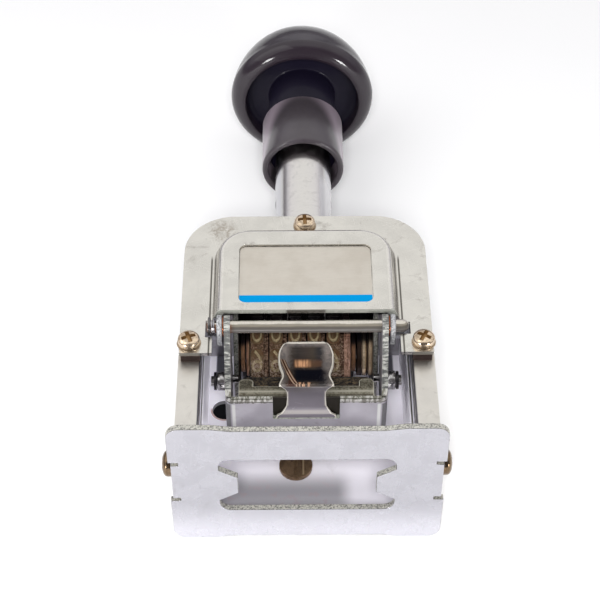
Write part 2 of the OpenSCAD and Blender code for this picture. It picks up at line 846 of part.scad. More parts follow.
module digit_wheel(i) {
    x0 = stack_left + i * pitch;
    color("tan") placed() {
        side_sheet(x0, x0 + ring_w) translate([axis_y, axis_z]) difference() {
            union() {
                circle(type_r - type_h);
                for (n = [0:FIGURES - 1]) rotate(n * step_angle) intersection() {
                    circle(type_r);
                    translate([type_r - 2, -block_w / 2]) square([3, block_w]);
                }
            }
            circle(shaft_r + run_gap);
        }
        side_sheet(x0 + ring_w - overlap, x0 + ring_w + ratchet_w) {
            translate([axis_y, axis_z]) difference() {
                ratchet_shape(ratchet_r, tooth_d);
                circle(shaft_r + run_gap);
            }
        }
    }
}

module digit_wheel_1() { digit_wheel(0); }
module digit_wheel_2() { digit_wheel(1); }
module digit_wheel_3() { digit_wheel(2); }
module digit_wheel_4() { digit_wheel(3); }
module digit_wheel_5() { digit_wheel(4); }

module unit_ratchet() {
    x0 = stack_left + stack_w;
    color("sienna") placed() side_sheet(x0, x0 + unit_t) translate([axis_y, axis_z]) difference() {
        ratchet_shape(ratchet_r, tooth_d * 1.3);
        circle(shaft_r + run_gap);
    }
}

// ---- Pawl frame, which rocks about the wheels' shaft ----

bar_reach = type_r + pawl_bar_r + 1.05;
rock_back = step_angle / 2;
left_arm_x = -cheek_in + slide_gap;
right_arm_x = stack_left + stack_w + unit_t + slide_gap;

// Drawn in Y and Z with the arm's direction along the first axis
module along_arm() {
    translate([axis_y, axis_z]) rotate(rock_back - 90) children();
}

module pawl_arm_shape() {
    difference() {
        union() {
            circle(collar_r - 1);
            translate([0, -1.8]) square([bar_reach, 3.6]);
            translate([bar_reach, 0]) circle(1.8);
        }
        circle(shaft_r + run_gap);
    }
}

module pawl_frame() {
    color("saddlebrown") placed() {
        for (x = [left_arm_x, right_arm_x]) side_sheet(x, x + pawl_arm_t) along_arm() pawl_arm_shape();
        side_sheet(left_arm_x, right_arm_x + pawl_arm_t) along_arm() {
            translate([bar_reach, 0]) circle(pawl_bar_r);
        }
    }
}

module feed_pawl() {
    color("dimgray") placed() {
        side_sheet(left_arm_x + pawl_arm_t, right_arm_x) along_arm() {
            translate([type_r + 0.6, pawl_bar_r]) square([bar_reach - type_r + 0.6, 1]);
        }
        for (i = [0:WHEELS - 1]) side_sheet(gap_x(i) - finger_w / 2, gap_x(i) + finger_w / 2) along_arm() {
            translate([finger_r, pawl_bar_r]) square([type_r + 0.7 - finger_r, 1]);
        }
    }
}

// ---- Fixed hangers and the rod that the ink pad swings on ----

module hanger_shape() {
    difference() {
        union() {
            translate([rod_y, rod_z]) circle(eye_r);
            polygon([
                [rod_y - eye_r, rod_z],
                [rod_y - eye_r + 0.4, rod_z - 1.5 * eye_r],
                [rod_y + 1.5 * eye_r, rod_z - hanger_depth],
                [rod_y + hanger_len, rod_z - hanger_depth],
                [rod_y + hanger_len, rod_z],
                [rod_y, rod_z]
            ]);
        }
        translate([box_mouth - 0.2, cover_back - slide_gap]) square([hanger_len, hanger_depth]);
        translate([rod_y, rod_z]) circle(rod_r + fit_gap);
    }
}

module right_hanger_shape() {
    back = rod_z - hanger_depth;
    top = rod_y + hanger_len;
    side_sheet(hanger_in, hanger_out) hanger_shape();
    block([hanger_out - overlap, top - hanger_foot, back], [rail_in, top, back + hanger_t]);
    block([rail_in - hanger_t, top - hanger_foot, back], [rail_in, top, rail_front - 1]);
}

module left_hanger() {
    color("gray") placed() mirror([1, 0, 0]) right_hanger_shape();
}

module right_hanger() {
    color("gray") placed() right_hanger_shape();
}

module bail_rod() {
    color("silver") placed() {
        rod_x(-rod_left, rod_nose, rod_y, rod_z, rod_r);
        translate([rod_nose - overlap, rod_y, rod_z]) rotate([0, 90, 0]) {
            cylinder(h = rod_right - rod_nose + overlap, r1 = rod_r, r2 = rod_r * 0.55);
        }
    }
}

// A ring around an axis along X
module ring_x(x0, x1, y, z, outer, inner) {
    side_sheet(x0, x1) translate([y, z]) difference() {
        circle(outer);
        circle(inner);
    }
}

module rod_washers() {
    color("chocolate") placed() both_sides() {
        ring_x(arm_out + 0.1, hanger_in - 0.1, rod_y, rod_z, rod_r + 0.9, rod_r + fit_gap);
    }
}

module rod_clip() {
    color("dimgray") placed() ring_x(-clip_x - 0.6, -clip_x, rod_y, rod_z, clip_r, rod_r + fit_gap);
}

module bail_spring() {
    color("silver") placed() translate([-clip_x + 0.05, rod_y, rod_z]) rotate([0, 90, 0]) {
        coil(rod_r + 0.4, bail_wire, clip_x - hanger_out - 0.1, bail_turns, 16, 6);
    }
}

// ---- Ink pad ----

notch_half = tab_end_w / 2 + 1.6;
notch_d = 6.8;
fold_y = web_top - tab_t - tab_drop;
fold_z = web_front + tab_reach;

module arm_shape() {
    pin_z = rod_z - drive_pin_reach;
    difference() {
        union() {
            translate([rod_y, rod_z]) circle(eye_r);
            polygon([
                [web_low, web_back],
                [web_low, web_front],
                [rod_y - eye_r, rod_z],
                [rod_y + eye_r, rod_z],
                [rod_y + eye_r, pin_z + 1],
                [rod_y + drive_pin_r, pin_z - drive_pin_r - 1.2],
                [web_top + 1, web_back]
            ]);
        }
        translate([rod_y, rod_z]) circle(rod_r + run_gap);
        translate([rod_y, pin_z]) circle(drive_pin_r + fit_gap);
        translate([rod_y - post_down, rod_z - post_back]) circle(post_r + fit_gap);
    }
}

module pad_bail() {
    color("silver") placed() {
        both_sides() side_sheet(arm_in, arm_out) arm_shape();
        face_sheet(web_low, web_top) difference() {
            translate([-arm_in - overlap, web_back]) square([2 * (arm_in + overlap), web_d]);
            translate([-notch_half, web_front - notch_d]) square([2 * notch_half, notch_d + 1]);
        }
    }
}

module drive_pins() {
    color("gray") placed() both_sides() {
        rod_x(cheek_in + 0.1, arm_out, rod_y, rod_z - drive_pin_reach, drive_pin_r);
    }
}

module stop_posts() {
    y = rod_y - post_down;
    z = rod_z - post_back;
    color("lightgray") placed() both_sides() {
        rod_x(arm_in, arm_out + post_len, y, z, post_r);
        rod_x(arm_out, arm_out + 1.7, y, z, post_r + 1);
    }
}

module post_clips() {
    color("dimgray") placed() both_sides() {
        ring_x(
            arm_out + 1.9, arm_out + 2.5, rod_y - post_down, rod_z - post_back,
            post_r + 0.9, post_r + fit_gap
        );
    }
}

module ink_tray() {
    back = web_back + 0.4;
    front = web_front - 0.4;
    color("darkkhaki") placed() {
        block([-tray_half, web_top, back], [tray_half, web_top + tray_t, front]);
        for (z = [back, front - tray_t]) {
            block([-tray_half, web_top, z], [tray_half, web_top + tray_h, z + tray_t]);
        }
        for (x = [-tray_half, tray_half - clip_w]) flat_sheet(front - tray_t, front) {
            rounded(x, x + clip_w, web_top, web_top + clip_h, 1);
        }
    }
}

module felt_pad() {
    color("darkslategray") placed() block(
        [-tray_half + 0.2, web_top + tray_t, web_back + 0.4 + tray_t + fit_gap],
        [tray_half - 0.2, felt_top, web_front - 0.4 - tray_t - fit_gap]
    );
}

// The scoop's side view: an arc through the fold, the hollow and the rim
function scoop_point(u, push) = [
    fold_y + tab_h * u,
    fold_z - 0.4 * u - 4 * tab_hollow * u * (1 - u) - push
];

module finger_tab() {
    root = web_front - notch_d;
    half = tab_end_w / 2;
    neck = tab_w / 2;
    steps = [for (i = [0:12]) i / 12];
    color("gainsboro") placed() {
        intersection() {
            side_sheet(-half - 1.2, half + 1.2) polygon([
                [web_top - tab_t, root],
                [fold_y, fold_z],
                [fold_y + tab_t, fold_z],
                [web_top, root]
            ]);
            face_sheet(fold_y - 1, web_top + 1) polygon([
                [-half - 1, root],
                [-neck, root + 3.4],
                [-neck, fold_z + 1],
                [neck, fold_z + 1],
                [neck, root + 3.4],
                [half + 1, root]
            ]);
        }
        intersection() {
            side_sheet(-half, half) polygon(concat(
                [for (u = steps) scoop_point(u, 0)],
                [for (i = [len(steps) - 1:-1:0]) scoop_point(steps[i], tab_t)]
            ));
            flat_sheet(fold_z - 4, fold_z + 2) {
                difference() {
                    rounded(-half, half, fold_y, fold_y + tab_h, 2.4);
                    for (side = [-1, 1]) {
                        translate([side * (half + 11), fold_y + tab_h * 0.42]) circle(12.2);
                    }
                }
            }
        }
    }
}

base_plate();
rear_plate();
left_rail();
right_rail();
top_bridge();
cross_pin();
cover();
name_plate();
cover_lugs();
cover_screws();
cover_washers();
side_screws();
stop_screw();
left_hanger();
right_hanger();
bail_rod();
rod_washers();
rod_clip();
bail_spring();
stem();
knob();
knob_sleeve();
return_spring();
left_cheek();
right_cheek();
yoke();
guide_blocks();
wheel_shaft();
left_collar();
right_collar();
detent_comb();
digit_wheel_1();
digit_wheel_2();
digit_wheel_3();
digit_wheel_4();
digit_wheel_5();
unit_ratchet();
pawl_frame();
feed_pawl();
pad_bail();
drive_pins();
stop_posts();
post_clips();
ink_tray();
felt_pad();
finger_tab();
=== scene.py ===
"""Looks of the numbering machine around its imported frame: pieces, finishes, studio light and camera."""

import json
import math

import bmesh
import bpy
from bpy.props import FloatProperty, FloatVectorProperty, IntProperty, PointerProperty
from mathutils import Euler, Matrix, Vector

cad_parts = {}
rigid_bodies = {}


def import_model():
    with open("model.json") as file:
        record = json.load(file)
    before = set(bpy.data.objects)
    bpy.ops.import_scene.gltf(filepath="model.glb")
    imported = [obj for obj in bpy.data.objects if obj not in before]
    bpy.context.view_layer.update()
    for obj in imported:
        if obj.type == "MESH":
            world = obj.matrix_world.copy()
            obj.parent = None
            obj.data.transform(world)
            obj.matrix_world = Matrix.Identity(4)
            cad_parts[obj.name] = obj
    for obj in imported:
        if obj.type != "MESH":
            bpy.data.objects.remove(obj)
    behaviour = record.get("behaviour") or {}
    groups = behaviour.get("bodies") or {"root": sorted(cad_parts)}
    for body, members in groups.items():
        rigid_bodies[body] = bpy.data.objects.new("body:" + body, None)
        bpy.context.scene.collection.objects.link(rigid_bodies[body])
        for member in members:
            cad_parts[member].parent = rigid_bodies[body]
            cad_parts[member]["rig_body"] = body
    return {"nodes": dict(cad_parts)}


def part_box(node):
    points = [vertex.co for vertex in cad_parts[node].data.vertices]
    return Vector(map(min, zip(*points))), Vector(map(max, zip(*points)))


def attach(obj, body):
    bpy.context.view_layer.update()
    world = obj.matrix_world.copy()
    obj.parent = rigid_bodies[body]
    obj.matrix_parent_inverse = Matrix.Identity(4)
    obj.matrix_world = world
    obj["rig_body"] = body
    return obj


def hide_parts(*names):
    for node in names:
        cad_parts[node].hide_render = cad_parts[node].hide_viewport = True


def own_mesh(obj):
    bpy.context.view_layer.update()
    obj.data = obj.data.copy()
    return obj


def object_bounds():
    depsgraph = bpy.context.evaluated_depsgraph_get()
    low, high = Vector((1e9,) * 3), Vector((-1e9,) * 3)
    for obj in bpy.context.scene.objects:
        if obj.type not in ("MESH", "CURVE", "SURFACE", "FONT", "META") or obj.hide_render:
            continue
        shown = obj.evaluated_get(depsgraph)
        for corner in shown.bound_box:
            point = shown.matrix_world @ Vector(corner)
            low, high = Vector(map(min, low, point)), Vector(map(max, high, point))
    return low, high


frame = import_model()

bl_info = {
    "name": "Numbering Machine",
    "version": (1, 0, 0),
    "blender": (4, 5, 0),
    "location": "3D View > Sidebar > Machine",
    "description": "Builds the pieces, finishes and studio of a numbering machine",
    "category": "Object",
}

MM = 0.001
FIGURES = "0123456789"
WHEELS = 5
CAD_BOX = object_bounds()
FACE_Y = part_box("base_plate")[0].y
UNIT = {"X": Vector((1, 0, 0)), "Y": Vector((0, 1, 0)), "Z": Vector((0, 0, 1))}

# The rear plate's sight hole, in millimetres from the middle and from the printing face
HOLE_X = -20.2
HOLE_Y = 37.5
HOLE_R = 2.9

# Sizes that several pieces share, in millimetres
SLEEVE_WALL = 1.8
WHEEL_BORE = 2.06
FIGURE_SUNK = 0.12


# ---- Sizes and colours that a user would change ----


def linear(value):
    """A screen value from 0 to 255 as linear light."""
    c = value / 255
    return c / 12.92 if c <= 0.04045 else ((c + 0.055) / 1.055) ** 2.4


def length(name, description, default):
    """A length property in metres, given in millimetres."""
    return FloatProperty(
        name=name, description=description, default=default * MM, unit="LENGTH", precision=5
    )


def paint(name, description, rgb):
    """A colour property, given as screen values from 0 to 255."""
    return FloatVectorProperty(
        name=name, description=description, default=[linear(c) for c in rgb],
        subtype="COLOR", size=3, min=0, max=1,
    )


class MachineSizes(bpy.types.PropertyGroup):
    """Sizes of the finishing details, which the frame doesn't fix."""

    edge_soft: length("Edge softness", "Width of the small round on cut edges", 0.14)
    box_soft: length("Box shoulder", "Radius of the shoulder of the cover's pressed box", 0.9)
    bend_soft: length("Bend radius", "Outer radius of the bail's bends", 1.5)
    figure_tall: length("Figure height", "Height of a figure around its wheel", 5.4)
    figure_wide: length("Figure width", "Width of a figure along the shaft", 2.6)
    figure_proud: length("Figure relief", "How far the figures stand off their wheel", 0.7)
    scoop_dish: length("Tab dish", "How far the finger tab is dished across its width", 0.9)
    felt_crown: length("Felt crown", "How far the felt bulges in the middle", 0.25)
    round_steps: IntProperty(
        name="Round steps", description="Steps around the knob and its sleeve", default=96, min=24
    )


class MachineColours(bpy.types.PropertyGroup):
    """Main colours of the finishes."""

    plate: paint("Base plate", "Plated steel of the base plate", (190, 189, 195))
    cover: paint("Cover", "Plated steel of the front cover", (224, 221, 214))
    frame: paint("Frame", "Plated steel of the frame's sheets", (236, 233, 241))
    label: paint("Name plate", "Bare face of the name plate", (200, 194, 184))
    stripe: paint("Stripe", "Stripe along the name plate's lower edge", (6, 132, 192))
    knob: paint("Knob", "Moulded plastic of the knob", (36, 28, 36))
    sleeve: paint("Sleeve", "Satin plastic of the sleeve", (59, 53, 58))
    screw: paint("Screws", "Plated brass of the cover screws", (240, 218, 190))
    lug: paint("Lugs", "Brown coating of the cover's lugs", (46, 34, 31))
    copper: paint("Copper", "Copper of the washers", (206, 128, 88))
    wheel: paint("Wheels", "Brass of the figure wheels", (128, 108, 80))
    felt: paint("Felt", "Ink-soaked felt", (13, 12, 12))
    tray: paint("Tray", "Bare steel of the ink tray", (196, 190, 170))


class MachineStudio(bpy.types.PropertyGroup):
    """Camera, light and floor."""

    lens: FloatProperty(name="Lens", description="Focal length of the camera in millimetres", default=96.24)
    pitch: FloatProperty(
        name="Pitch", description="How far the camera looks down", default=math.radians(46.6), subtype="ANGLE"
    )
    yaw: FloatProperty(
        name="Yaw", description="How far the camera is turned", default=math.radians(0.46), subtype="ANGLE"
    )
    eye: FloatVectorProperty(
        name="Camera place", description="Place of the camera", default=(-0.0034, -0.29655, 0.311),
        unit="LENGTH",
    )
    key: FloatProperty(name="Key light", description="Power of the large light on the left", default=1.0)
    fill: FloatProperty(name="Fill light", description="Power of the soft light at the camera", default=2.1)
    lamp: FloatProperty(name="Low lamps", description="Power of the two small low lamps", default=0.7)
    sky: FloatProperty(name="Surround", description="Brightness of the surround", default=0.95)
    floor: paint("Floor", "Colour of the floor", (238, 238, 239))


# ---- Shader nodes written as sums ----


class Strand:
    """A socket in a sum: an operator on it adds the Math node that works it out."""

    def __init__(self, finish, socket):
        self.finish = finish
        self.socket = socket

    def math(self, operation, *values):
        return self.finish.node("ShaderNodeMath", {"operation": operation}, dict(enumerate(values)))

    def __add__(self, other):
        return self.math("ADD", self, other)

    def __sub__(self, other):
        return self.math("SUBTRACT", self, other)

    def __mul__(self, other):
        return self.math("MULTIPLY", self, other)

    def __truediv__(self, other):
        return self.math("DIVIDE", self, other)

    def __rsub__(self, other):
        return self.math("SUBTRACT", other, self)

    __radd__ = __add__
    __rmul__ = __mul__

    def top(self, other):
        """The larger of two values."""
        return self.math("MAXIMUM", self, other)

    def size(self):
        """The value without its sign."""
        return self.math("ABSOLUTE", self)

    def rise(self, low, high):
        """0 below low, 1 above high and smooth in between."""
        settings = {"interpolation_type": "SMOOTHSTEP", "clamp": True}
        return self.finish.node(
            "ShaderNodeMapRange", settings, {"Value": self, "From Min": low, "From Max": high}
        )

    def fall(self, low, high):
        """1 below low, 0 above high and smooth in between."""
        return 1 - self.rise(low, high)

    def line(self, place, inner, outer):
        """1 within an inner distance of a place, 0 beyond an outer one and smooth in between."""
        return (self - place).size().fall(inner, outer)


def disc(across, up, inner, outer):
    """1 inside an inner radius, 0 outside an outer one, about the point where both distances are nothing."""
    return (across * across + up * up).fall(inner ** 2, outer ** 2)


class NodeTree:
    """Adds nodes to one tree."""

    def __init__(self, tree):
        self.tree = tree
        tree.nodes.clear()

    def node(self, kind, settings=None, inputs=None, output=0):
        """Adds a node: its settings first, then the values or links of its sockets."""
        made = self.tree.nodes.new(kind)
        for key, value in (settings or {}).items():
            if key == "stops":
                self.set_stops(made.color_ramp, value)
            else:
                setattr(made, key, value)
        for key, value in (inputs or {}).items():
            if isinstance(value, Strand):
                self.tree.links.new(value.socket, made.inputs[key])
            else:
                made.inputs[key].default_value = value
        return Strand(self, made.outputs[output]) if len(made.outputs) else made

    def mix(self, factor, first, second):
        """A colour between two colours."""
        settings = {"data_type": "RGBA", "blend_type": "MIX"}
        ends = [value if isinstance(value, Strand) else (*value, 1) for value in (first, second)]
        return self.node("ShaderNodeMix", settings, {0: factor, 6: ends[0], 7: ends[1]}, 2)

    def ramp(self, value, stops):
        """A colour from a row of stops."""
        return self.node("ShaderNodeValToRGB", {"stops": stops}, {0: value})

    @staticmethod
    def set_stops(ramp, stops):
        """Gives a colour ramp its stops, as pairs of place and colour."""
        while len(ramp.elements) > 1:
            ramp.elements.remove(ramp.elements[-1])
        for i, (place, rgb) in enumerate(stops):
            stop = ramp.elements[0] if i == 0 else ramp.elements.new(place)
            stop.position = place
            stop.color = (*rgb, 1)


class Finish(NodeTree):
    """One finish: a Principled shader, its colour so far and the patterns that vary over the surface.

    x, y and z are distances in millimetres, with y from the printing face. edge is 1 on the rounded edges
    and cut on the sheared ones. A stain may set dull, which takes the metal's shine away.
    """

    def __init__(self, name, colour, **constants):
        self.material = bpy.data.materials.new(name)
        self.material.use_nodes = True
        super().__init__(self.material.node_tree)
        shader = self.node("ShaderNodeBsdfPrincipled")
        self.shader = shader.socket.node
        for key, value in constants.items():
            self.shader.inputs[key.replace("_", " ")].default_value = value
        self.node("ShaderNodeOutputMaterial", None, {"Surface": shader})
        self.place = self.node("ShaderNodeTexCoord", None, None, 3)
        self.edge = self.node("ShaderNodeAttribute", {"attribute_name": "edge_wear"}, None, 2)
        self.cut = self.node("ShaderNodeAttribute", {"attribute_name": "cut_edge"}, None, 2)
        x, y, z = (self.node("ShaderNodeSeparateXYZ", None, {0: self.place}, i) / MM for i in range(3))
        self.x, self.y, self.z = x, y - FACE_Y / MM, z
        self.colour = colour
        self.dull = 0.0

    def coat(self, mask, tone):
        """Lays a tone over the colour so far, where the mask is 1."""
        self.colour = self.mix(mask, self.colour, tone)

    def feed(self, **values):
        """Links values that vary to the shader's sockets, and the colour so far to its base colour."""
        values["Base_Color"] = self.colour
        for key, value in values.items():
            self.tree.links.new(value.socket, self.shader.inputs[key.replace("_", " ")])

    def painted_glow(self, mask, amount):
        """Painted light: a faint even glow from the surface inside the mask, standing in for the light that
        bright sheets on both sides of it throw.
        """
        self.shader.inputs["Emission Strength"].default_value = amount
        light = self.mix(mask, (0, 0, 0), (0.92, 0.9, 1.0))
        self.tree.links.new(light.socket, self.shader.inputs["Emission Color"])

    def mapped(self, stretch=(1, 1, 1), turn=(0, 0, 0), shift=(0, 0, 0)):
        """Object coordinates in millimetres, turned and stretched."""
        turned = {"Vector": self.place, "Rotation": turn}
        placed = {
            "Vector": self.node("ShaderNodeMapping", {"vector_type": "TEXTURE"}, turned),
            "Scale": [s / MM for s in stretch],
            "Location": shift,
        }
        return self.node("ShaderNodeMapping", {"vector_type": "POINT"}, placed)

    def noise(self, scale, detail=3.0, rough=0.5, distort=0.0, **mapping):
        """Cloudy noise around 0.5, with a number of features in a millimetre."""
        inputs = {"Scale": scale, "Detail": detail, "Roughness": rough, "Distortion": distort}
        return self.node("ShaderNodeTexNoise", None, {"Vector": self.mapped(**mapping), **inputs})

    def cells(self, scale, **mapping):
        """Distance in a field of random cells."""
        return self.node("ShaderNodeTexVoronoi", None, {"Vector": self.mapped(**mapping), "Scale": scale})

    def scratches(self, turns, spare=0.68, fine=5.0, shift=0.0):
        """Sparse fine scratches that run in several directions."""
        found = None
        for i, turn in enumerate(turns):
            moved = (shift + 31.7 * i, 11.3 * i, 5.1)
            streak = self.noise(1.0, 2.0, stretch=(0.09, fine, fine), turn=turn, shift=moved)
            streak = streak.rise(spare, spare + 0.035)
            found = streak if found is None else found.top(streak)
        return found

    def relief(self, height, strength, distance):
        """A normal bumped by a height, with the distance in millimetres."""
        inputs = {"Height": height, "Strength": strength, "Distance": distance * MM}
        return self.node("ShaderNodeBump", None, inputs)


def shade(rgb, amount):
    """A colour made darker or lighter."""
    return tuple(min(1.0, c * amount) for c in rgb)


def tint(*rgb):
    """A colour from screen values."""
    return tuple(linear(c) for c in rgb)


def stretched(axis, along, across):
    """Stretch of a pattern, with one amount along an axis and another across it."""
    return tuple(along if name == axis else across for name in "XYZ")


# Directions of the scratches on a sheet, by the axis that it faces
SCRATCH_TURNS = {
    "Z": [(0, 0, math.radians(a)) for a in (24, 101, 155)],
    "Y": [(0, math.radians(a), 0) for a in (18, 96, 140)],
    "X": [(math.radians(a), 0, math.pi / 2) for a in (15, 80, 130)],
}


def plated(
    name, tone, rough, facing="Z", cloud=0.1, grime=0.25, scratch=0.5, grain=0.3, wear=0.6, shift=0.0,
    dirt=(98, 88, 74), edge_tone=(168, 168, 160), metal=1.0, stain=None,
):
    """Plated or bare sheet metal: clouds, grime, scratches, fine grain, bright edges and torn cut ones."""
    made = Finish(name, tone)
    clouds = made.noise(0.16, 4.0, 0.55, shift=(shift, 3.1, 0)).rise(0.32, 0.7)
    dirty = made.noise(0.21, 5.0, 0.62, 0.8, shift=(7.7, shift, 2.0)).rise(0.56, 0.74) * grime
    pits = made.cells(1.7, shift=(shift, 0, 4.4)).fall(0.05, 0.13)
    pits = pits * made.noise(0.5, shift=(0, shift, 9.0)).rise(0.5, 0.62)
    lines = made.scratches(SCRATCH_TURNS[facing], shift=shift) * scratch
    fine = made.noise(9.0, 2.0, 0.6)
    coarse = made.noise(2.6, 4.0, 0.7, 0.5, shift=(1.0, shift, 0))
    torn = made.noise(2.1, 4.0, 0.7, 0.5, shift=(6.0, shift, 2.0)).rise(0.44, 0.62)
    made.coat(clouds * cloud * 4, shade(tone, 0.8))
    made.coat(dirty, tint(*dirt))
    made.coat(pits * 0.55 * grime, tint(60, 52, 44))
    made.coat(lines * 0.35, shade(tone, 1.25))
    made.coat(made.edge * wear * coarse.rise(0.3, 0.6), shade(tone, 1.2))
    cut_tone = tint(*edge_tone)
    sheared = made.mix(torn, cut_tone, shade(cut_tone, 0.25))
    sheared = made.mix(made.edge * 0.75, sheared, shade(cut_tone, 0.12))
    made.coat(made.cut * 0.9, sheared)
    if stain:
        stain(made)
    shine = rough + clouds * 0.07 + dirty * 0.35 + lines * 0.08 + (fine - 0.5) * grain * 0.2
    height = fine * grain * 0.4 - lines * 0.5 - pits * 0.8 + made.cut * coarse * 6
    made.feed(
        Roughness=shine + made.cut * (coarse * 0.35 + 0.08) - made.edge * 0.05,
        Metallic=(1 - dirty * 0.4 - made.cut * 0.15) * (1 - made.dull) * metal,
        Normal=made.relief(height, 0.35, 0.02),
    )
    return made.material


def turned_metal(
    name, tone, rough, along="X", grime=0.3, dirt=(60, 44, 28), rings=0.5, wear=0.5, shift=0.0,
    bands=None, recess=(48, 34, 14), metal=1.0, stain=None,
):
    """Metal turned on a lathe: rings about its axis, tarnish in patches, bright worn edges and dark recesses.

    Bands, where they are given, are screen colours at distances along X and take the place of the tone.
    """
    made = Finish(name, tone)
    ring = made.noise(1.0, 3.0, 0.6, stretch=stretched(along, 9, 0.4), shift=(shift, 0, 0))
    patches = made.noise(0.45, 5.0, 0.6, 0.6, shift=(shift, 2.0, 6.0)).rise(0.5, 0.72) * grime
    spots = made.cells(1.3, shift=(shift, 4.0, 0)).fall(0.06, 0.16)
    mottle = made.noise(1.5, 4.0, 0.7, 0.4, shift=(2.0, shift, 5.0)).rise(0.44, 0.6)
    streaks = made.noise(1.0, 3.0, 0.6, stretch=stretched(along, 2.6, 0.25), shift=(shift, 5.0, 0))
    bright, dark = shade(tone, 1.35), shade(tone, 0.7)
    if bands:
        low, high = bands[0][0], bands[-1][0]
        stops = [((place - low) / (high - low), tint(*rgb)) for place, rgb in bands]
        made.colour = bright = dark = made.ramp((made.x - low) / (high - low), stops)
    heavy = max(0.0, grime - 0.2)
    made.coat(patches, tint(*dirt))
    made.coat(spots * 0.4 * grime, tint(46, 36, 26))
    made.coat(mottle * heavy, tint(*dirt))
    made.coat(streaks.rise(0.46, 0.58) * heavy * 1.2, shade(tint(*dirt), 0.6))
    made.coat(made.edge * wear, bright)
    made.coat(ring.rise(0.4, 0.7) * 0.25, dark)
    if stain:
        stain(made)
    made.coat(made.cut * 0.9, tint(*recess))
    made.feed(
        Roughness=rough + patches * 0.35 + (ring - 0.5) * 0.25 * rings,
        Metallic=(1 - patches * 0.35 - made.cut * 0.4) * (1 - made.dull) * metal,
        Normal=made.relief(ring * rings + made.noise(5.0) * 0.4, 0.3, 0.02),
    )
    return made.material


def moulded(name, tone, rough, gloss, coat_rough, shift, matt_and_shaded=None, sheen=False):
    """Moulded plastic: a glossy skin with slight unevenness, hairline scratches and dust; where asked, a
    painted sheen on the sides that turn away and painted shade in a dull hollow.
    """
    made = Finish(name, tone, Coat_Roughness=coat_rough, Specular_IOR_Level=0.15)
    cloud = made.noise(0.12, 4.0, 0.55, shift=(shift, 0, 0)).rise(0.3, 0.7)
    fine = made.noise(6.0, 3.0, 0.6, shift=(0, shift, 0))
    lines = made.scratches(SCRATCH_TURNS["Y"][:2], 0.69, 4.0, shift)
    specks = made.cells(0.9, shift=(shift, 1.0, 1.0)).fall(0.03, 0.07)
    made.coat(cloud * 0.5, shade(tone, 0.72))
    made.coat(specks * 0.1 + lines * 0.025, shade(tone, 3.0))
    if sheen:
        # Painted sheen: the sides that turn away get a lighter painted reflection
        turned_away = made.node("ShaderNodeLayerWeight", None, {"Blend": 0.5}, 1)
        made.coat(turned_away.rise(0.66, 0.86), shade(tone, 6.3))
    skin = gloss - cloud * gloss * 0.2 - lines * 0.2
    if matt_and_shaded:
        # Painted shade: the hollow gets a dark navy colour as well as a dull skin
        shaded_hollow = matt_and_shaded(made)
        made.coat(shaded_hollow, tint(18, 15, 29))
        skin = skin * (1 - shaded_hollow * 0.9)
    made.coat(made.edge * 0.3, shade(tone, 1.6))
    made.feed(
        Roughness=rough + cloud * 0.06 + lines * 0.12 + (fine - 0.5) * 0.08,
        Coat_Weight=skin,
        Normal=made.relief(fine * 0.3 + cloud * 1.5 - lines * 0.2, 0.25, 0.03),
    )
    return made.material


def printed_label(name, tone, stripe, low, high):
    """Bare anodised plate with one plain stripe between two distances from the printing face."""
    made = Finish(name, tone, Specular_IOR_Level=0.0)
    inside = made.y.rise(low, low + 0.1) * made.y.fall(high - 0.1, high)
    brushed = made.noise(1.0, 3.0, 0.6, stretch=(0.3, 14, 4))
    cloud = made.noise(0.18, 4.0, 0.6).rise(0.35, 0.7)
    tone_patches = made.noise(1.8, 4.0, 0.7).rise(0.6, 0.75)
    made.coat(brushed.rise(0.3, 0.7) * 0.5, shade(tone, 0.84))
    made.coat(cloud * 0.4, tint(178, 170, 158))
    made.coat(inside, made.mix(tone_patches * 0.12, stripe, shade(stripe, 1.4)))
    made.coat(made.edge * 0.5, tint(225, 222, 215))
    made.feed(
        Roughness=0.36 + brushed * 0.12 + cloud * 0.06,
        Metallic=0.6 - inside * 0.6,
        Normal=made.relief(brushed * 0.5 + inside * 0.6, 0.3, 0.02),
    )
    return made.material


def felted(name, tone):
    """Ink-soaked felt: matted fibres with a damp sheen and a little lint."""
    made = Finish(name, shade(tone, 0.5), Sheen_Weight=0.08, Sheen_Roughness=0.5, Specular_IOR_Level=0.2)
    fibres = made.noise(3.2, 5.0, 0.75, 2.5)
    matted = made.noise(0.8, 4.0, 0.6, 1.0).rise(0.35, 0.7)
    lint = made.scratches(SCRATCH_TURNS["Z"], 0.66, 3.0, 4.0) * made.noise(0.6).rise(0.5, 0.7)
    tufts = made.noise(1.5, 4.0, 0.75, 1.2, stretch=(0.7, 1, 1.4), shift=(5.0, 0, 3.0)).rise(0.47, 0.58)
    made.coat(fibres.rise(0.35, 0.7), shade(tone, 2.2))
    made.coat(tufts * 0.8, tint(104, 90, 70))
    made.coat(matted * 0.4, tint(14, 13, 18))
    made.coat(lint * 0.4, tint(120, 112, 104))
    made.feed(
        Roughness=0.62 + fibres * 0.3 - matted * 0.18,
        Normal=made.relief(fibres * 1.4 + matted + lint, 0.8, 0.12),
    )
    return made.material


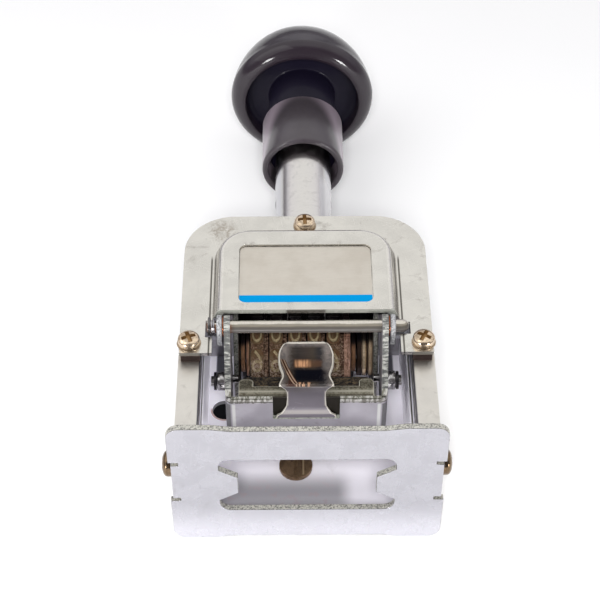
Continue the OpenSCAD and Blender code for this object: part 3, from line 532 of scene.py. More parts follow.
def coated(name, tone, under):
    """Baked coating that wears through to another colour at the edges."""
    made = Finish(name, shade(tone, 0.75), Specular_IOR_Level=0.45)
    cloud = made.noise(0.6, 4.0, 0.6, shift=(2.0, 0, 0)).rise(0.3, 0.7)
    fine = made.noise(4.5, 4.0, 0.7, shift=(0, 2.0, 0))
    chips = (made.edge * 0.5 + made.noise(1.6, 4.0, 0.7, 0.6) * 0.9).rise(0.62, 0.74) * 0.3
    made.coat(cloud, shade(tone, 1.15))
    made.coat(chips, tint(*under))
    made.feed(
        Roughness=0.45 + (fine - 0.5) * 0.25 - chips * 0.1,
        Metallic=0.35 + chips * 0.6,
        Normal=made.relief(fine - chips * 0.6, 0.4, 0.03),
    )
    return made.material


def shadowed(made):
    """A stain of painted shade: dark navy above the shaft, where the cover shades the pieces."""
    above = made.y - centre_of("wheel_shaft").y
    made.coat(above.rise(-3.0, -1.4) * 0.97, tint(20, 19, 25))


# ---- Modelling helpers, in millimetres from the printing face ----


def near(node):
    """A node's lowest and highest corner, in millimetres from the printing face."""
    return [(corner - Vector((0, FACE_Y, 0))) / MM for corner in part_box(node)]


def centre_of(node):
    """The middle of a node's box."""
    low, high = near(node)
    return (low + high) / 2


def middle(edge):
    """The middle of an edge."""
    return (edge.verts[0].co + edge.verts[1].co) / 2


def upright(edge):
    """Whether an edge climbs along Z."""
    return abs(edge.verts[0].co.z - edge.verts[1].co.z) > 0.1


def round_edges(bm, edges, width, segments):
    """Bevels edges to a round, and gives back its faces."""
    return bmesh.ops.bevel(
        bm, geom=edges, offset=width, offset_type="OFFSET", segments=segments, profile=0.5, affect="EDGES",
        clamp_overlap=True, material=-1,
    )["faces"]


def soften(bm, width, segments=2, angle=28, test=None):
    """Rounds the edges that are sharper than an angle, and marks the round for edge wear and painted sheen.
    """
    limit = math.radians(angle)
    found = [
        e for e in bm.edges
        if len(e.link_faces) == 2 and e.calc_face_angle(0) > limit and (test is None or test(e))
    ]
    if found and width > 0:
        wear = bm.faces.layers.float.get("edge_wear") or bm.faces.layers.float.new("edge_wear")
        for face in round_edges(bm, found, width, segments):
            face[wear] = 1.0


def mark_cut(bm, thickness):
    """Marks the narrow faces of a sheet, where it was sheared or punched."""
    cut = bm.faces.layers.float.new("cut_edge")
    for face in bm.faces:
        face[cut] = float(face.calc_area() / max(e.calc_length() for e in face.edges) < thickness)


def lathe(bm, profile, centre, along, steps, closed=False):
    """Spins a profile of radius and distance pairs about an axis through the centre."""
    axis = "XYZ".index(along)
    aside = 1 if axis == 0 else 0
    verts = []
    for r, distance in profile:
        spot = list(centre)
        spot[axis] = distance
        spot[aside] += r
        verts.append(bm.verts.new(spot))
    pairs = list(zip(verts, verts[1:])) + ([(verts[-1], verts[0])] if closed else [])
    edges = [bm.edges.new(pair) for pair in pairs]
    bmesh.ops.spin(
        bm, geom=verts + edges, cent=centre, axis=UNIT[along], angle=math.tau, steps=steps, use_merge=True
    )


def tidy(bm):
    """Merges doubles and turns all faces outwards."""
    bmesh.ops.remove_doubles(bm, verts=bm.verts, dist=1e-4)
    bmesh.ops.recalc_face_normals(bm, faces=bm.faces)


def turned_shape(profile, centre, along, steps, closed=False):
    """A new shape spun from a profile."""
    bm = bmesh.new()
    lathe(bm, profile, centre, along, steps, closed)
    tidy(bm)
    return bm


def arc(cx, cy, r, start, stop, steps):
    """Points of an arc, with the angles in degrees."""
    turns = [math.radians(start + (stop - start) * i / steps) for i in range(steps + 1)]
    return [(cx + r * math.cos(a), cy + r * math.sin(a)) for a in turns]


def dome(r, base, height, angles):
    """Profile of a full round end from its base up, at angles in degrees."""
    turns = [math.radians(angle) for angle in angles]
    return [(r * math.cos(a) ** 0.8, base + height * math.sin(a)) for a in turns]


def coil(start, along, r, wire, climb, turns, steps):
    """A coil of round wire that climbs along X or Y from its start."""
    bm = bmesh.new()
    turned = Matrix.Rotation(-math.pi / 2, 4, "X") if along == "X" else Matrix.Identity(4)
    aside = UNIT["Z"] if along == "X" else UNIT["X"]
    ring = bmesh.ops.create_circle(bm, segments=8, radius=wire, cap_ends=True)["verts"]
    bmesh.ops.transform(bm, matrix=Matrix.Translation(Vector(start) + aside * r) @ turned, verts=ring)
    bmesh.ops.spin(
        bm, geom=bm.verts[:] + bm.edges[:] + bm.faces[:], cent=start, axis=UNIT[along],
        dvec=UNIT[along] * climb / (turns * steps), angle=math.tau * turns,
        steps=turns * steps, use_merge=False,
    )
    tidy(bm)
    return bm


def stand_in(bm, node, finish, keep=38, weighted=True):
    """A finished piece, from a shape in local millimetres, that stands for one node and rides on its body."""
    bmesh.ops.scale(bm, vec=(MM, MM, MM), verts=bm.verts)
    bmesh.ops.translate(bm, vec=(0, FACE_Y, 0), verts=bm.verts)
    name = node + "_piece"
    mesh = bpy.data.meshes.new(name)
    bm.to_mesh(mesh)
    bm.free()
    mesh.shade_smooth()
    mesh.set_sharp_from_angle(angle=math.radians(keep))
    mesh.materials.append(finish)
    made = bpy.data.objects.new(name, mesh)
    bpy.context.scene.collection.objects.link(made)
    if weighted:
        even = made.modifiers.new("Even shading", "WEIGHTED_NORMAL")
        even.keep_sharp = True
    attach(made, frame["nodes"][node]["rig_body"])
    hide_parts(node)
    return made


def dressed(node, finish, soft=None, sheet=None, bend=None, segments=2, angle=28, keep=38):
    """A finished copy of a node: merged, its edges rounded, and the sheared edges of a sheet marked.

    A bend is rounded before the other edges, and is a width, a number of segments and a test of an edge.
    """
    bm = bmesh.new()
    bm.from_mesh(frame["nodes"][node].data)
    bmesh.ops.translate(bm, vec=(0, -FACE_Y, 0), verts=bm.verts)
    bmesh.ops.scale(bm, vec=(1 / MM, 1 / MM, 1 / MM), verts=bm.verts)
    bmesh.ops.remove_doubles(bm, verts=bm.verts, dist=2e-3)
    bmesh.ops.dissolve_limit(bm, angle_limit=math.radians(0.8), verts=bm.verts, edges=bm.edges)
    if sheet:
        mark_cut(bm, sheet)
    if bend:
        width, steps, test = bend
        soften(bm, width, steps, angle, test)
    soften(bm, soft or bpy.context.scene.machine_sizes.edge_soft / MM, segments, angle)
    stand_in(bm, node, finish, keep)


# ---- One operator for each piece or group of like pieces ----


class MACHINE_OT_base_plate(bpy.types.Operator):
    """Base plate with its punched window and folded ears"""

    bl_idname = "machine.base_plate"
    bl_label = "Base plate"

    def execute(self, context):
        tone = context.scene.machine_colours.plate

        def foot(made):
            """Painted light: lighter towards the floor."""
            made.coat(made.z.fall(0.5, 14) * (1 - made.cut), shade(tone, 1.35))

        finish = plated(
            "Plate nickel", shade(tone, 0.91), 0.24, "Y", grime=0.14, scratch=0.8, shift=2.0,
            edge_tone=(214, 212, 202), stain=foot,
        )
        dressed("base_plate", finish, soft=0.22, sheet=1.65, segments=3)
        return {"FINISHED"}


class MACHINE_OT_frame(bpy.types.Operator):
    """Rear plate, channel rails, bridge and cross pin"""

    bl_idname = "machine.frame"
    bl_label = "Frame"

    def execute(self, context):
        tone = context.scene.machine_colours.frame
        rear = plated(
            "Rear plate nickel", shade(tone, 1.14), 0.34, cloud=0.05, grime=0.12, wear=0.5, shift=5.0,
            metal=0.05, stain=lambda made: self.painted_shading(made, tone),
        )
        dressed("rear_plate", rear, sheet=1.3)
        rail = plated(
            "Rail zinc", tint(224, 220, 213), 0.34, scratch=0.6, grain=0.6, wear=0.5, shift=9.0,
            stain=self.lit,
        )
        for node in ("left_rail", "right_rail"):
            dressed(node, rail, soft=0.2, segments=3)
        bridge = plated(
            "Bridge zinc", tint(176, 175, 178), 0.36, cloud=0.14, grime=0.3, scratch=0.4, grain=0.8, wear=0.5,
            shift=12.0,
        )
        dressed("top_bridge", bridge)
        dressed("cross_pin", turned_metal("Pin steel", tint(170, 168, 165), 0.25), soft=0.3)
        return {"FINISHED"}

    @staticmethod
    def painted_shading(made, tone):
        """Painted light and shade: shade at the plate's foot with pink patches, a copper glint on the sight
        hole's lower left, shade under the hangers, a glow in the left bay and a dark wall in the sight hole.
        """
        x, y = made.x, made.y
        # Painted shade over the plate's foot, deeper on the left and away from the printing face, with pink
        # patches in it
        foot = y.fall(12, 20)
        made.coat(foot, shade(tone, 0.8))
        foot_tone = made.mix(y.rise(3, 12), shade(tone, 0.68), shade(tone, 0.27))
        pink = made.noise(0.5, 4.0, 0.6, shift=(8.0, 3.0, 0)).rise(0.52, 0.62) * 0.25
        made.coat(foot * x.fall(7, 12) * 0.9, made.mix(pink, foot_tone, tint(150, 116, 118)))
        across, up = x - HOLE_X, y - HOLE_Y
        # A painted copper glint on the lower left of the sight hole
        rim = disc(across, up, HOLE_R + 0.4, HOLE_R + 0.65) * (up + across * 0.4).fall(-1.6, -0.2)
        made.coat(rim * 0.85, tint(166, 118, 98))
        # Painted shade under the hangers
        under_hanger = x.size().rise(20.1, 20.6) * x.size().fall(22.3, 22.8) * y.rise(44, 47)
        made.coat(under_hanger * 0.9, tint(34, 37, 52))
        # A painted glow in the left bay
        left_bay = x.fall(-18.6, -17.8) * y.rise(18, 22) * (1 - under_hanger)
        made.painted_glow(left_bay, 0.12)
        # Painted shade on the wall of the sight hole
        wall = disc(across, up, HOLE_R + 0.06, HOLE_R + 0.12) * up.rise(-1.5, 0)
        made.coat(wall, tint(14, 13, 16))

    @staticmethod
    def lit(made):
        """Painted light and shade on the rails' inner walls: bright below, with a glow on the left rail, and
        dark above but for one line.
        """
        low, high = near("right_rail")
        depth = high.z - made.z
        inner = made.x.size().fall(low.x + 0.1, low.x + 0.3)
        upper = depth.fall(5.4, 6.9)
        # Painted light below and painted shade above
        made.dull = inner * (1 - upper) * 0.9
        made.painted_glow(inner * (1 - upper) * made.x.fall(-1, 1), 0.16)
        made.coat(inner * (1 - upper), tint(250, 247, 255))
        made.coat(inner * upper * (1 - depth.line(3.2, 0.5, 1.0)) * 0.85, tint(48, 50, 66))


class MACHINE_OT_cover(bpy.types.Operator):
    """Front cover with its pressed box"""

    bl_idname = "machine.cover"
    bl_label = "Cover"

    def execute(self, context):
        soft = context.scene.machine_sizes.box_soft / MM
        low, high = near("cover")
        label_low, label_high = near("name_plate")
        box_y = low.y + 10

        def shoulder(edge):
            spot = middle(edge)
            flat = abs(edge.verts[0].co.z - edge.verts[1].co.z) < 0.05
            in_seat = abs(spot.x) < label_high.x + 0.2 and label_low.y - 0.2 < spot.y < label_high.y + 0.2
            return flat and spot.z > high.z - 0.1 and not in_seat and spot.y > box_y + 0.1

        def tone_patches(made):
            """Dark streaks down the box's walls, painted shade in the creases at the side walls' feet, a dull
            lip with a painted reflection, pale at the sides and dark in the middle, and a smudge at the upper
            left.
            """
            x, y, depth = made.x, made.y, high.z - made.z
            wall = depth.rise(0.3, 0.8) * depth.fall(2.9, 3.2) * y.rise(box_y - 0.2, box_y)
            wall_streaks = made.noise(1.0, 3.0, 0.6, stretch=(1.2, 0.05, 1.2)).rise(0.42, 0.58)
            made.coat(wall * wall_streaks * 0.75, tint(88, 84, 78))
            # Painted shade in the creases along the feet of the side walls
            foot = x.size().line(label_high.x + 6.6, 0.1, 0.3) * depth.rise(3.0, 3.3) * y.fall(52, 54)
            made.coat(foot * 0.85, tint(64, 58, 50))
            # The lip is dulled and gets a painted reflection: pale at the sides, dark brown in the middle
            lip = y.fall(label_low.y - 2.1, label_low.y - 1.9) * depth.fall(2.2, 2.6) * depth.rise(0, 0.12)
            made.dull = lip * 0.7
            lip_reflection = made.mix(x.size().fall(4.2, 4.8), tint(150, 152, 144), tint(50, 44, 36))
            made.coat(lip * 0.85, lip_reflection)
            smudge = disc(x + 20, y - 62.5, 1, 4.47) * made.noise(0.9, 4.0, 0.7).rise(0.4, 0.62)
            made.coat(smudge * 0.5, tint(128, 112, 92))

        finish = plated(
            "Cover nickel", context.scene.machine_colours.cover, 0.2, cloud=0.12, grime=0.42, scratch=0.55,
            grain=0.35, wear=0.5, shift=20.0, stain=tone_patches,
        )
        dressed("cover", finish, soft=0.25, bend=(soft, 4, shoulder), segments=3, angle=20, keep=45)
        return {"FINISHED"}


class MACHINE_OT_name_plate(bpy.types.Operator):
    """Bare name plate with a plain stripe"""

    bl_idname = "machine.name_plate"
    bl_label = "Name plate"

    def execute(self, context):
        tones = context.scene.machine_colours
        low, high = near("name_plate")
        centre, half = (low + high) / 2, (high - low) / 2
        gap, half_t = 0.15, 0.09
        plate = bmesh.new()
        bmesh.ops.create_cube(plate, size=2.0)
        bmesh.ops.scale(plate, vec=(half.x - gap, half.y - gap, half_t), verts=plate.verts)
        bmesh.ops.translate(plate, vec=(centre.x, centre.y, low.z + half_t), verts=plate.verts)
        for side, r in ((-1, 0.35), (1, 1.5)):
            corners = [e for e in plate.edges if upright(e) and (middle(e).y - centre.y) * side > 0]
            round_edges(plate, corners, r, 6)
        soften(plate, 0.05)
        finish = printed_label("Label", tones.label, tones.stripe, low.y + 0.2, low.y + 2.75)
        stand_in(plate, "name_plate", finish)
        return {"FINISHED"}


def pan_head(bm, base, turned, r, h):
    """Adds a domed head with a cross recess, turned and standing on its base."""
    cross, slot, depth = 3.3, 0.95, 1.0
    rim = h / 2
    profile = [(0, 0), (r - 0.1, 0), (r, 0.1), (r, rim)]
    profile += dome(r, rim, h - rim, (12, 26, 42, 58, 72, 82))
    head = turned_shape(profile + [(0, h)], (0, 0, 0), "Z", 36)
    for axis in "XY":
        for reach in (-slot / 2, slot / 2, -cross / 2, cross / 2):
            bmesh.ops.bisect_plane(
                head, geom=head.verts[:] + head.edges[:] + head.faces[:], dist=1e-4,
                plane_co=UNIT[axis] * reach, plane_no=UNIT[axis],
            )

    def in_cross(face):
        spot = face.calc_center_median()
        less, more = sorted((abs(spot.x), abs(spot.y)))
        return spot.z > rim and less < slot / 2 and more < cross / 2

    chosen = [f for f in head.faces if in_cross(f)]
    floor = bmesh.ops.extrude_face_region(head, geom=chosen, use_keep_orig=False)["geom"]
    bmesh.ops.delete(head, geom=chosen, context="FACES")
    verts = [v for v in floor if isinstance(v, bmesh.types.BMVert)]
    bmesh.ops.scale(head, vec=(0.84, 0.84, 0), verts=verts)
    bmesh.ops.translate(head, vec=(0, 0, h - depth), verts=verts)
    cut = head.faces.layers.float.new("cut_edge")
    for face in {f for v in verts for f in v.link_faces}:
        face[cut] = 1.0
    bmesh.ops.recalc_face_normals(head, faces=head.faces)
    bmesh.ops.transform(head, matrix=Matrix.Translation(base) @ turned, verts=head.verts)
    mesh = bpy.data.meshes.new("head")
    head.to_mesh(mesh)
    head.free()
    bm.from_mesh(mesh)
    bpy.data.meshes.remove(mesh)


def shank(bm, start, stop, centre, along):
    """Adds a screw's plain shaft between two distances along its axis."""
    r = 1.45
    lathe(bm, [(0, start), (r, start), (r, stop), (0, stop)], centre, along, 24)


class MACHINE_OT_fasteners(bpy.types.Operator):
    """Cover screws with washers, side screws, stop screw and the brown lugs"""

    bl_idname = "machine.fasteners"
    bl_label = "Fasteners"

    def execute(self, context):
        tones = context.scene.machine_colours
        low, high = near("cover_screws")
        cad_head_r = 2.75
        side_x = abs(centre_of("left_rail").x)
        spots = [(-side_x, low.y + cad_head_r), (side_x, low.y + cad_head_r), (0, high.y - cad_head_r)]
        self.cover_screws(tones, spots)
        self.washers(tones, spots)
        self.side_screws()
        self.stop_screw()
        dressed("cover_lugs", coated("Lug brown", tones.lug, (130, 112, 96)), soft=0.25)
        return {"FINISHED"}

    @staticmethod
    def cover_screws(tones, spots):
        """The three screws of the cover, each with its recess turned another way."""
        low, high = near("cover_screws")
        seat = near("cover_washers")[1].z
        head_r = 2.5
        bm = bmesh.new()
        for (x, y), turn in zip(spots, (20, -28, 3)):
            turned = Matrix.Rotation(math.radians(turn), 4, "Z")
            pan_head(bm, Vector((x, y, seat)), turned, head_r, high.z - seat)
            shank(bm, low.z, seat, (x, y, 0), "Z")
        bmesh.ops.recalc_face_normals(bm, faces=bm.faces)
        brass = turned_metal(
            "Screw brass", tones.screw, 0.2, "Z", 0.5, (84, 62, 34), rings=0.3, shift=3.0,
            recess=(130, 94, 44),
        )
        stand_in(bm, "cover_screws", brass, keep=32, weighted=False)

    @staticmethod
    def washers(tones, spots):
        """A flat washer and a smaller one under each head."""
        low, high = near("cover_washers")
        bore, flat, seat = 1.56, low.z + 0.24, high.z
        ring = [(bore, low.z), (2.7, low.z), (2.78, low.z + 0.08), (2.72, flat), (2.34, flat),
                (2.34, flat + 0.05), (2.6, flat + 0.08), (2.6, seat - 0.04), (bore, seat)]
        bm = bmesh.new()
        for x, y in spots:
            lathe(bm, ring, (x, y, 0), "Z", 48, closed=True)
        tidy(bm)
        brass = turned_metal(
            "Washer brass", shade(tones.screw, 0.7), 0.3, "Z", 0.45, (84, 58, 32), rings=0.4, wear=0.4,
            shift=8.0,
        )
        stand_in(bm, "cover_washers", brass)

    @staticmethod
    def side_screws():
        """The two screws through the ears."""
        low, high = near("side_screws")
        y, z = (low.y + high.y) / 2, (low.z + high.z) / 2
        head_h, shaft = 2.5, 3.55
        seat = high.x - head_h
        bm = bmesh.new()
        for side in (-1, 1):
            turned = Matrix.Rotation(side * math.pi / 2, 4, "Y") @ Matrix.Rotation(0.4, 4, "Z")
            pan_head(bm, Vector((side * seat, y, z)), turned, (high.y - low.y) / 2, head_h)
            start, stop = sorted((side * seat, side * (seat - shaft)))
            shank(bm, start, stop, (0, y, z), "X")
        bmesh.ops.recalc_face_normals(bm, faces=bm.faces)
        brass = turned_metal(
            "Side screw brass", tint(128, 110, 88), 0.2, "X", 0.5, (84, 56, 34), rings=0.4, wear=0.3,
            shift=5.0,
        )
        stand_in(bm, "side_screws", brass, keep=32, weighted=False)

    @staticmethod
    def stop_screw():
        """The slotted screw in the rear plate, with a painted highlight along its slot."""
        low, high = near("stop_screw")
        line_x = low.x * 0.25 + high.x * 0.75 - 0.2

        def slot_highlight(made):
            # A painted highlight along the slot
            inside = made.y.rise(low.y + 0.8, low.y + 1.1) * made.y.fall(high.y - 1.1, high.y - 0.8)
            made.coat(made.x.line(line_x, 0.14, 0.26) * inside, tint(196, 172, 140))

        brass = turned_metal(
            "Stop brass", tint(150, 124, 98), 0.42, "Z", 0.5, (84, 64, 46), rings=0.1, wear=0.6, shift=6.0,
            metal=0.75, stain=slot_highlight,
        )
        dressed("stop_screw", brass, soft=0.12)


class MACHINE_OT_hangers(bpy.types.Operator):
    """Hangers, rod, washers, clip and torsion spring"""

    bl_idname = "machine.hangers"
    bl_label = "Hangers"

    def execute(self, context):
        hanger = plated(
            "Hanger zinc", tint(196, 196, 202), 0.3, "X", cloud=0.15, grime=0.3, scratch=0.4, grain=0.7,
            shift=14.0, edge_tone=(190, 191, 193), metal=0.6,
        )
        for node in ("left_hanger", "right_hanger"):
            dressed(node, hanger, soft=0.16, sheet=1.3)
        low, high = near("bail_rod")
        y, z = (low.y + high.y) / 2, (low.z + high.z) / 2
        self.rod(low.x, high.x, (0, y, z), (high.y - low.y) / 2, context.scene.machine_sizes.round_steps // 2)
        copper = turned_metal("Washer copper", context.scene.machine_colours.copper, 0.25, dirt=(80, 44, 28))
        dressed("rod_washers", copper, soft=0.12)
        dressed("rod_clip", turned_metal("Clip steel", tint(120, 118, 118), 0.3), soft=0.1)
        low, high = near("bail_spring")
        wire = 0.2
        climb = high.x - low.x - 2 * wire
        spring = coil((low.x + wire, y, z), "X", high.y - y - wire, wire, climb, 2, 24)
        steel = turned_metal("Spring steel", tint(168, 166, 170), 0.25)
        stand_in(spring, "bail_spring", steel, weighted=False)
        return {"FINISHED"}

    @staticmethod
    def rod(start, stop, centre, r, steps):
        """The pad's rod, with a full round nose on its right."""
        nose_h, chamfer = 1.7, 0.25
        nose = stop - nose_h
        profile = [(0, start), (r - chamfer, start), (r, start + chamfer), (r, nose)]
        profile += dome(r, nose, nose_h, (15, 30, 45, 60, 75, 85))
        hanger_x = near("right_hanger")[1].x

        def reflection_bands(made):
            """Painted reflections in dark and light bands on the side towards the printing face, a brown
            oxide on the left end and a nose left bare.
            """
            across, up = (made.y - centre[1]) / r, (made.z - centre[2]) / r
            band_wobble = made.noise(0.5, 4.0, 0.6, stretch=(0.3, 2, 2)).rise(0.3, 0.7) * 0.1
            lower = (up + band_wobble).fall(0.93, 0.99) * across.fall(-0.1, 0.1)
            # Painted reflections: tones by height around the rod
            rows = [(0.1, (92, 84, 80)), (0.3, (42, 39, 40)), (0.47, (86, 82, 81)), (0.6, (46, 42, 40)),
                    (0.7, (38, 32, 27)), (0.79, (60, 54, 46)), (0.87, (110, 103, 90)), (0.94, (92, 87, 76)),
                    (1.0, (150, 146, 134))]
            painted_bands = made.ramp((up + band_wobble * 0.5 + 0.5) / 1.5, [(place, tint(*rgb)) for place, rgb in rows])
            sheen_and_shade = lower * (1 - made.x.rise(hanger_x, hanger_x + 0.2) * 0.8)
            made.dull = sheen_and_shade * 0.85
            made.coat(sheen_and_shade * 0.9, painted_bands)
            made.coat(made.x.fall(-17.6, -16.4) * up.fall(0.9, 0.98) * 0.55, tint(118, 70, 42))

        chrome = turned_metal(
            "Rod chrome", tint(222, 216, 206), 0.08, "X", 0.16, (90, 84, 78), rings=0.15, wear=0.2, shift=1.0,
            stain=reflection_bands,
        )
        stand_in(turned_shape(profile + [(0, stop)], centre, "X", steps), "bail_rod", chrome)


class MACHINE_OT_stem(bpy.types.Operator):
    """Stem tube and its return spring"""

    bl_idname = "machine.stem"
    bl_label = "Stem"

    def execute(self, context):
        def flank_shade(made):
            """Painted shade: even grey sides that dim their bright reflections, the right one dull below the
            sleeve.
            """
            right = made.x.rise(3.7, 4.7) * made.y.fall(93, 100)
            made.dull = right * 0.6
            flank_tone = made.mix(right, tint(188, 188, 193), tint(196, 195, 198))
            made.coat(made.x.size().rise(4.8, 6.4).top(right) * 0.9, flank_tone)

        chrome = turned_metal(
            "Stem chrome", tint(224, 221, 217), 0.17, "Y", 0.14, (120, 112, 104), rings=0.12, wear=0.3,
            shift=7.0, stain=flank_shade,
        )
        dressed("stem", chrome, soft=0.15, keep=50)
        low, high = near("return_spring")
        wire = 0.5
        whole = high.y - low.y
        start = (0, low.y + wire, (low.z + high.z) / 2)
        spring = coil(start, "Y", high.x - wire, wire, whole - 2 * wire, 18, 20)
        steel = turned_metal("Coil steel", tint(150, 148, 150), 0.28, "Y")
        made = stand_in(spring, "return_spring", steel, weighted=False)
        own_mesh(made)
        return {"FINISHED"}


class MACHINE_OT_knob(bpy.types.Operator):
    """Moulded knob and its sleeve"""

    bl_idname = "machine.knob"
    bl_label = "Knob and sleeve"

    def execute(self, context):
        tones = context.scene.machine_colours
        steps = context.scene.machine_sizes.round_steps
        centre = (0, 0, centre_of("knob").z)
        self.knob(tones, centre, steps)
        self.sleeve(tones, centre, steps)
        return {"FINISHED"}

    @staticmethod
    def knob(tones, centre, steps):
        """The domed knob, hollow behind its rim, with a neck that goes into the sleeve."""
        low, high = near("knob")
        stem = near("stem")[1]
        gap = 0.02
        neck_r = near("knob_sleeve")[1].x - SLEEVE_WALL - gap
        bore = stem.x + gap
        big_r = (high.x - low.x) / 2
        dome_h = 22.5
        rim = high.y - dome_h
        inner, roof = big_r - 4.3, rim + 2.6
        turns = [math.radians(a) for a in range(4, 85, 4)]
        profile = [(0, high.y)]
        profile += [(big_r * math.sin(a), rim + dome_h * math.cos(a)) for a in turns]
        lip_x, lip_r = 16.2, 3.8
        profile += arc(lip_x, rim + 2.0, lip_r, 0, -90, 12)
        profile += [(15.95, rim - 1.7), (15.8, rim - 1.3)]
        profile += [(inner, rim + 1.3), (inner - 0.6, roof - 0.3), (inner - 1.8, roof)]
        profile += [(neck_r + 0.5, roof), (neck_r + 0.15, roof - 0.15), (neck_r, roof - 0.5)]
        profile += [(neck_r, low.y + 0.3), (neck_r - 0.3, low.y), (bore, low.y), (bore, stem.y), (0, stem.y)]

        def hollow(made):
            """1 in the hollow behind the rim, which gets painted shade."""
            inside = disc(made.x, made.z - centre[2], inner - 0.5, inner + 0.4)
            return inside * made.y.fall(rim + 3, rim + 4)

        plastic = moulded("Knob plastic", tones.knob, 0.4, 0.85, 0.09, 4.0, matt_and_shaded=hollow)
        stand_in(turned_shape(profile, centre, "Y", steps), "knob", plastic, keep=60, weighted=False)

    @staticmethod
    def sleeve(tones, centre, steps):
        """The plain sleeve with a round lip at its lower end."""
        low, high = near("knob_sleeve")
        outer = high.x
        inner, lip_r = outer - SLEEVE_WALL, SLEEVE_WALL / 2
        profile = [(inner, high.y - 0.2), (inner + 0.2, high.y), (outer - 0.5, high.y), (outer, high.y - 0.5)]
        profile += [(outer, low.y + 1.0)]
        profile += arc(outer - lip_r, low.y + lip_r, lip_r, 0, -180, 10)
        # The sleeve gets a painted sheen on the sides that turn away
        satin = moulded("Sleeve plastic", tones.sleeve, 0.5, 0.95, 0.24, 9.0, sheen=True)
        bm = turned_shape(profile, centre, "Y", steps, closed=True)
        stand_in(bm, "knob_sleeve", satin, keep=60, weighted=False)


class MACHINE_OT_carriage(bpy.types.Operator):
    """Cheeks, yoke, guide blocks, shaft, collars and detent comb"""

    bl_idname = "machine.carriage"
    bl_label = "Carriage"

    def execute(self, context):
        cheek = plated(
            "Cheek steel", tint(156, 154, 152), 0.34, "X", cloud=0.2, grime=0.5, grain=0.8, shift=33.0,
            stain=shadowed,
        )
        for node in ("left_cheek", "right_cheek", "yoke"):
            dressed(node, cheek, soft=0.15, sheet=1.3)
        pin = turned_metal("Block steel", tint(150, 148, 146), 0.3, grime=0.35)
        for node in ("guide_blocks", "wheel_shaft"):
            dressed(node, pin, soft=0.15)
        bands = [(0, (204, 156, 130)), (0.5, (150, 110, 90)), (1, (222, 184, 148))]
        self.collar("left_collar", "Left collar bronze", bands)
        bands = [(0, (54, 42, 36)), (0.3, (48, 38, 34)), (0.34, (220, 192, 164)), (0.46, (234, 212, 180)),
                 (0.6, (168, 138, 104)), (0.64, (62, 48, 40)), (0.74, (66, 52, 42)), (0.78, (220, 194, 162)),
                 (1, (190, 164, 136))]
        self.collar("right_collar", "Right collar brass", bands, (0.34, 0.64, 0.76))
        comb = plated("Comb steel", tint(150, 146, 140), 0.32, "X", cloud=0.2, grime=0.4, stain=shadowed)
        dressed("detent_comb", comb, soft=0.08)
        return {"FINISHED"}

    @staticmethod
    def collar(node, title, bands, grooves=()):
        """A collar with colours and grooves at shares of its width."""
        low, high = near(node)
        wide = high.x - low.x
        r = (high.z - low.z) / 2
        profile = [(WHEEL_BORE, low.x), (r - 0.12, low.x), (r, low.x + 0.1)]
        for place in grooves:
            x = low.x + place * wide
            profile += [(r, x - 0.12), (r - 1.1, x - 0.06), (r - 1.1, x + 0.06), (r, x + 0.12)]
        profile += [(r, high.x - 0.1), (r - 0.12, high.x), (WHEEL_BORE, high.x)]
        bm = turned_shape(profile, (0, *centre_of(node).yz), "X", 60, closed=True)
        finish = turned_metal(
            title, (1, 1, 1), 0.32, "X", 0.5, (60, 42, 30), metal=0.6, stain=shadowed,
            bands=[(low.x + place * wide, rgb) for place, rgb in bands],
        )
        stand_in(bm, node, finish, weighted=False)


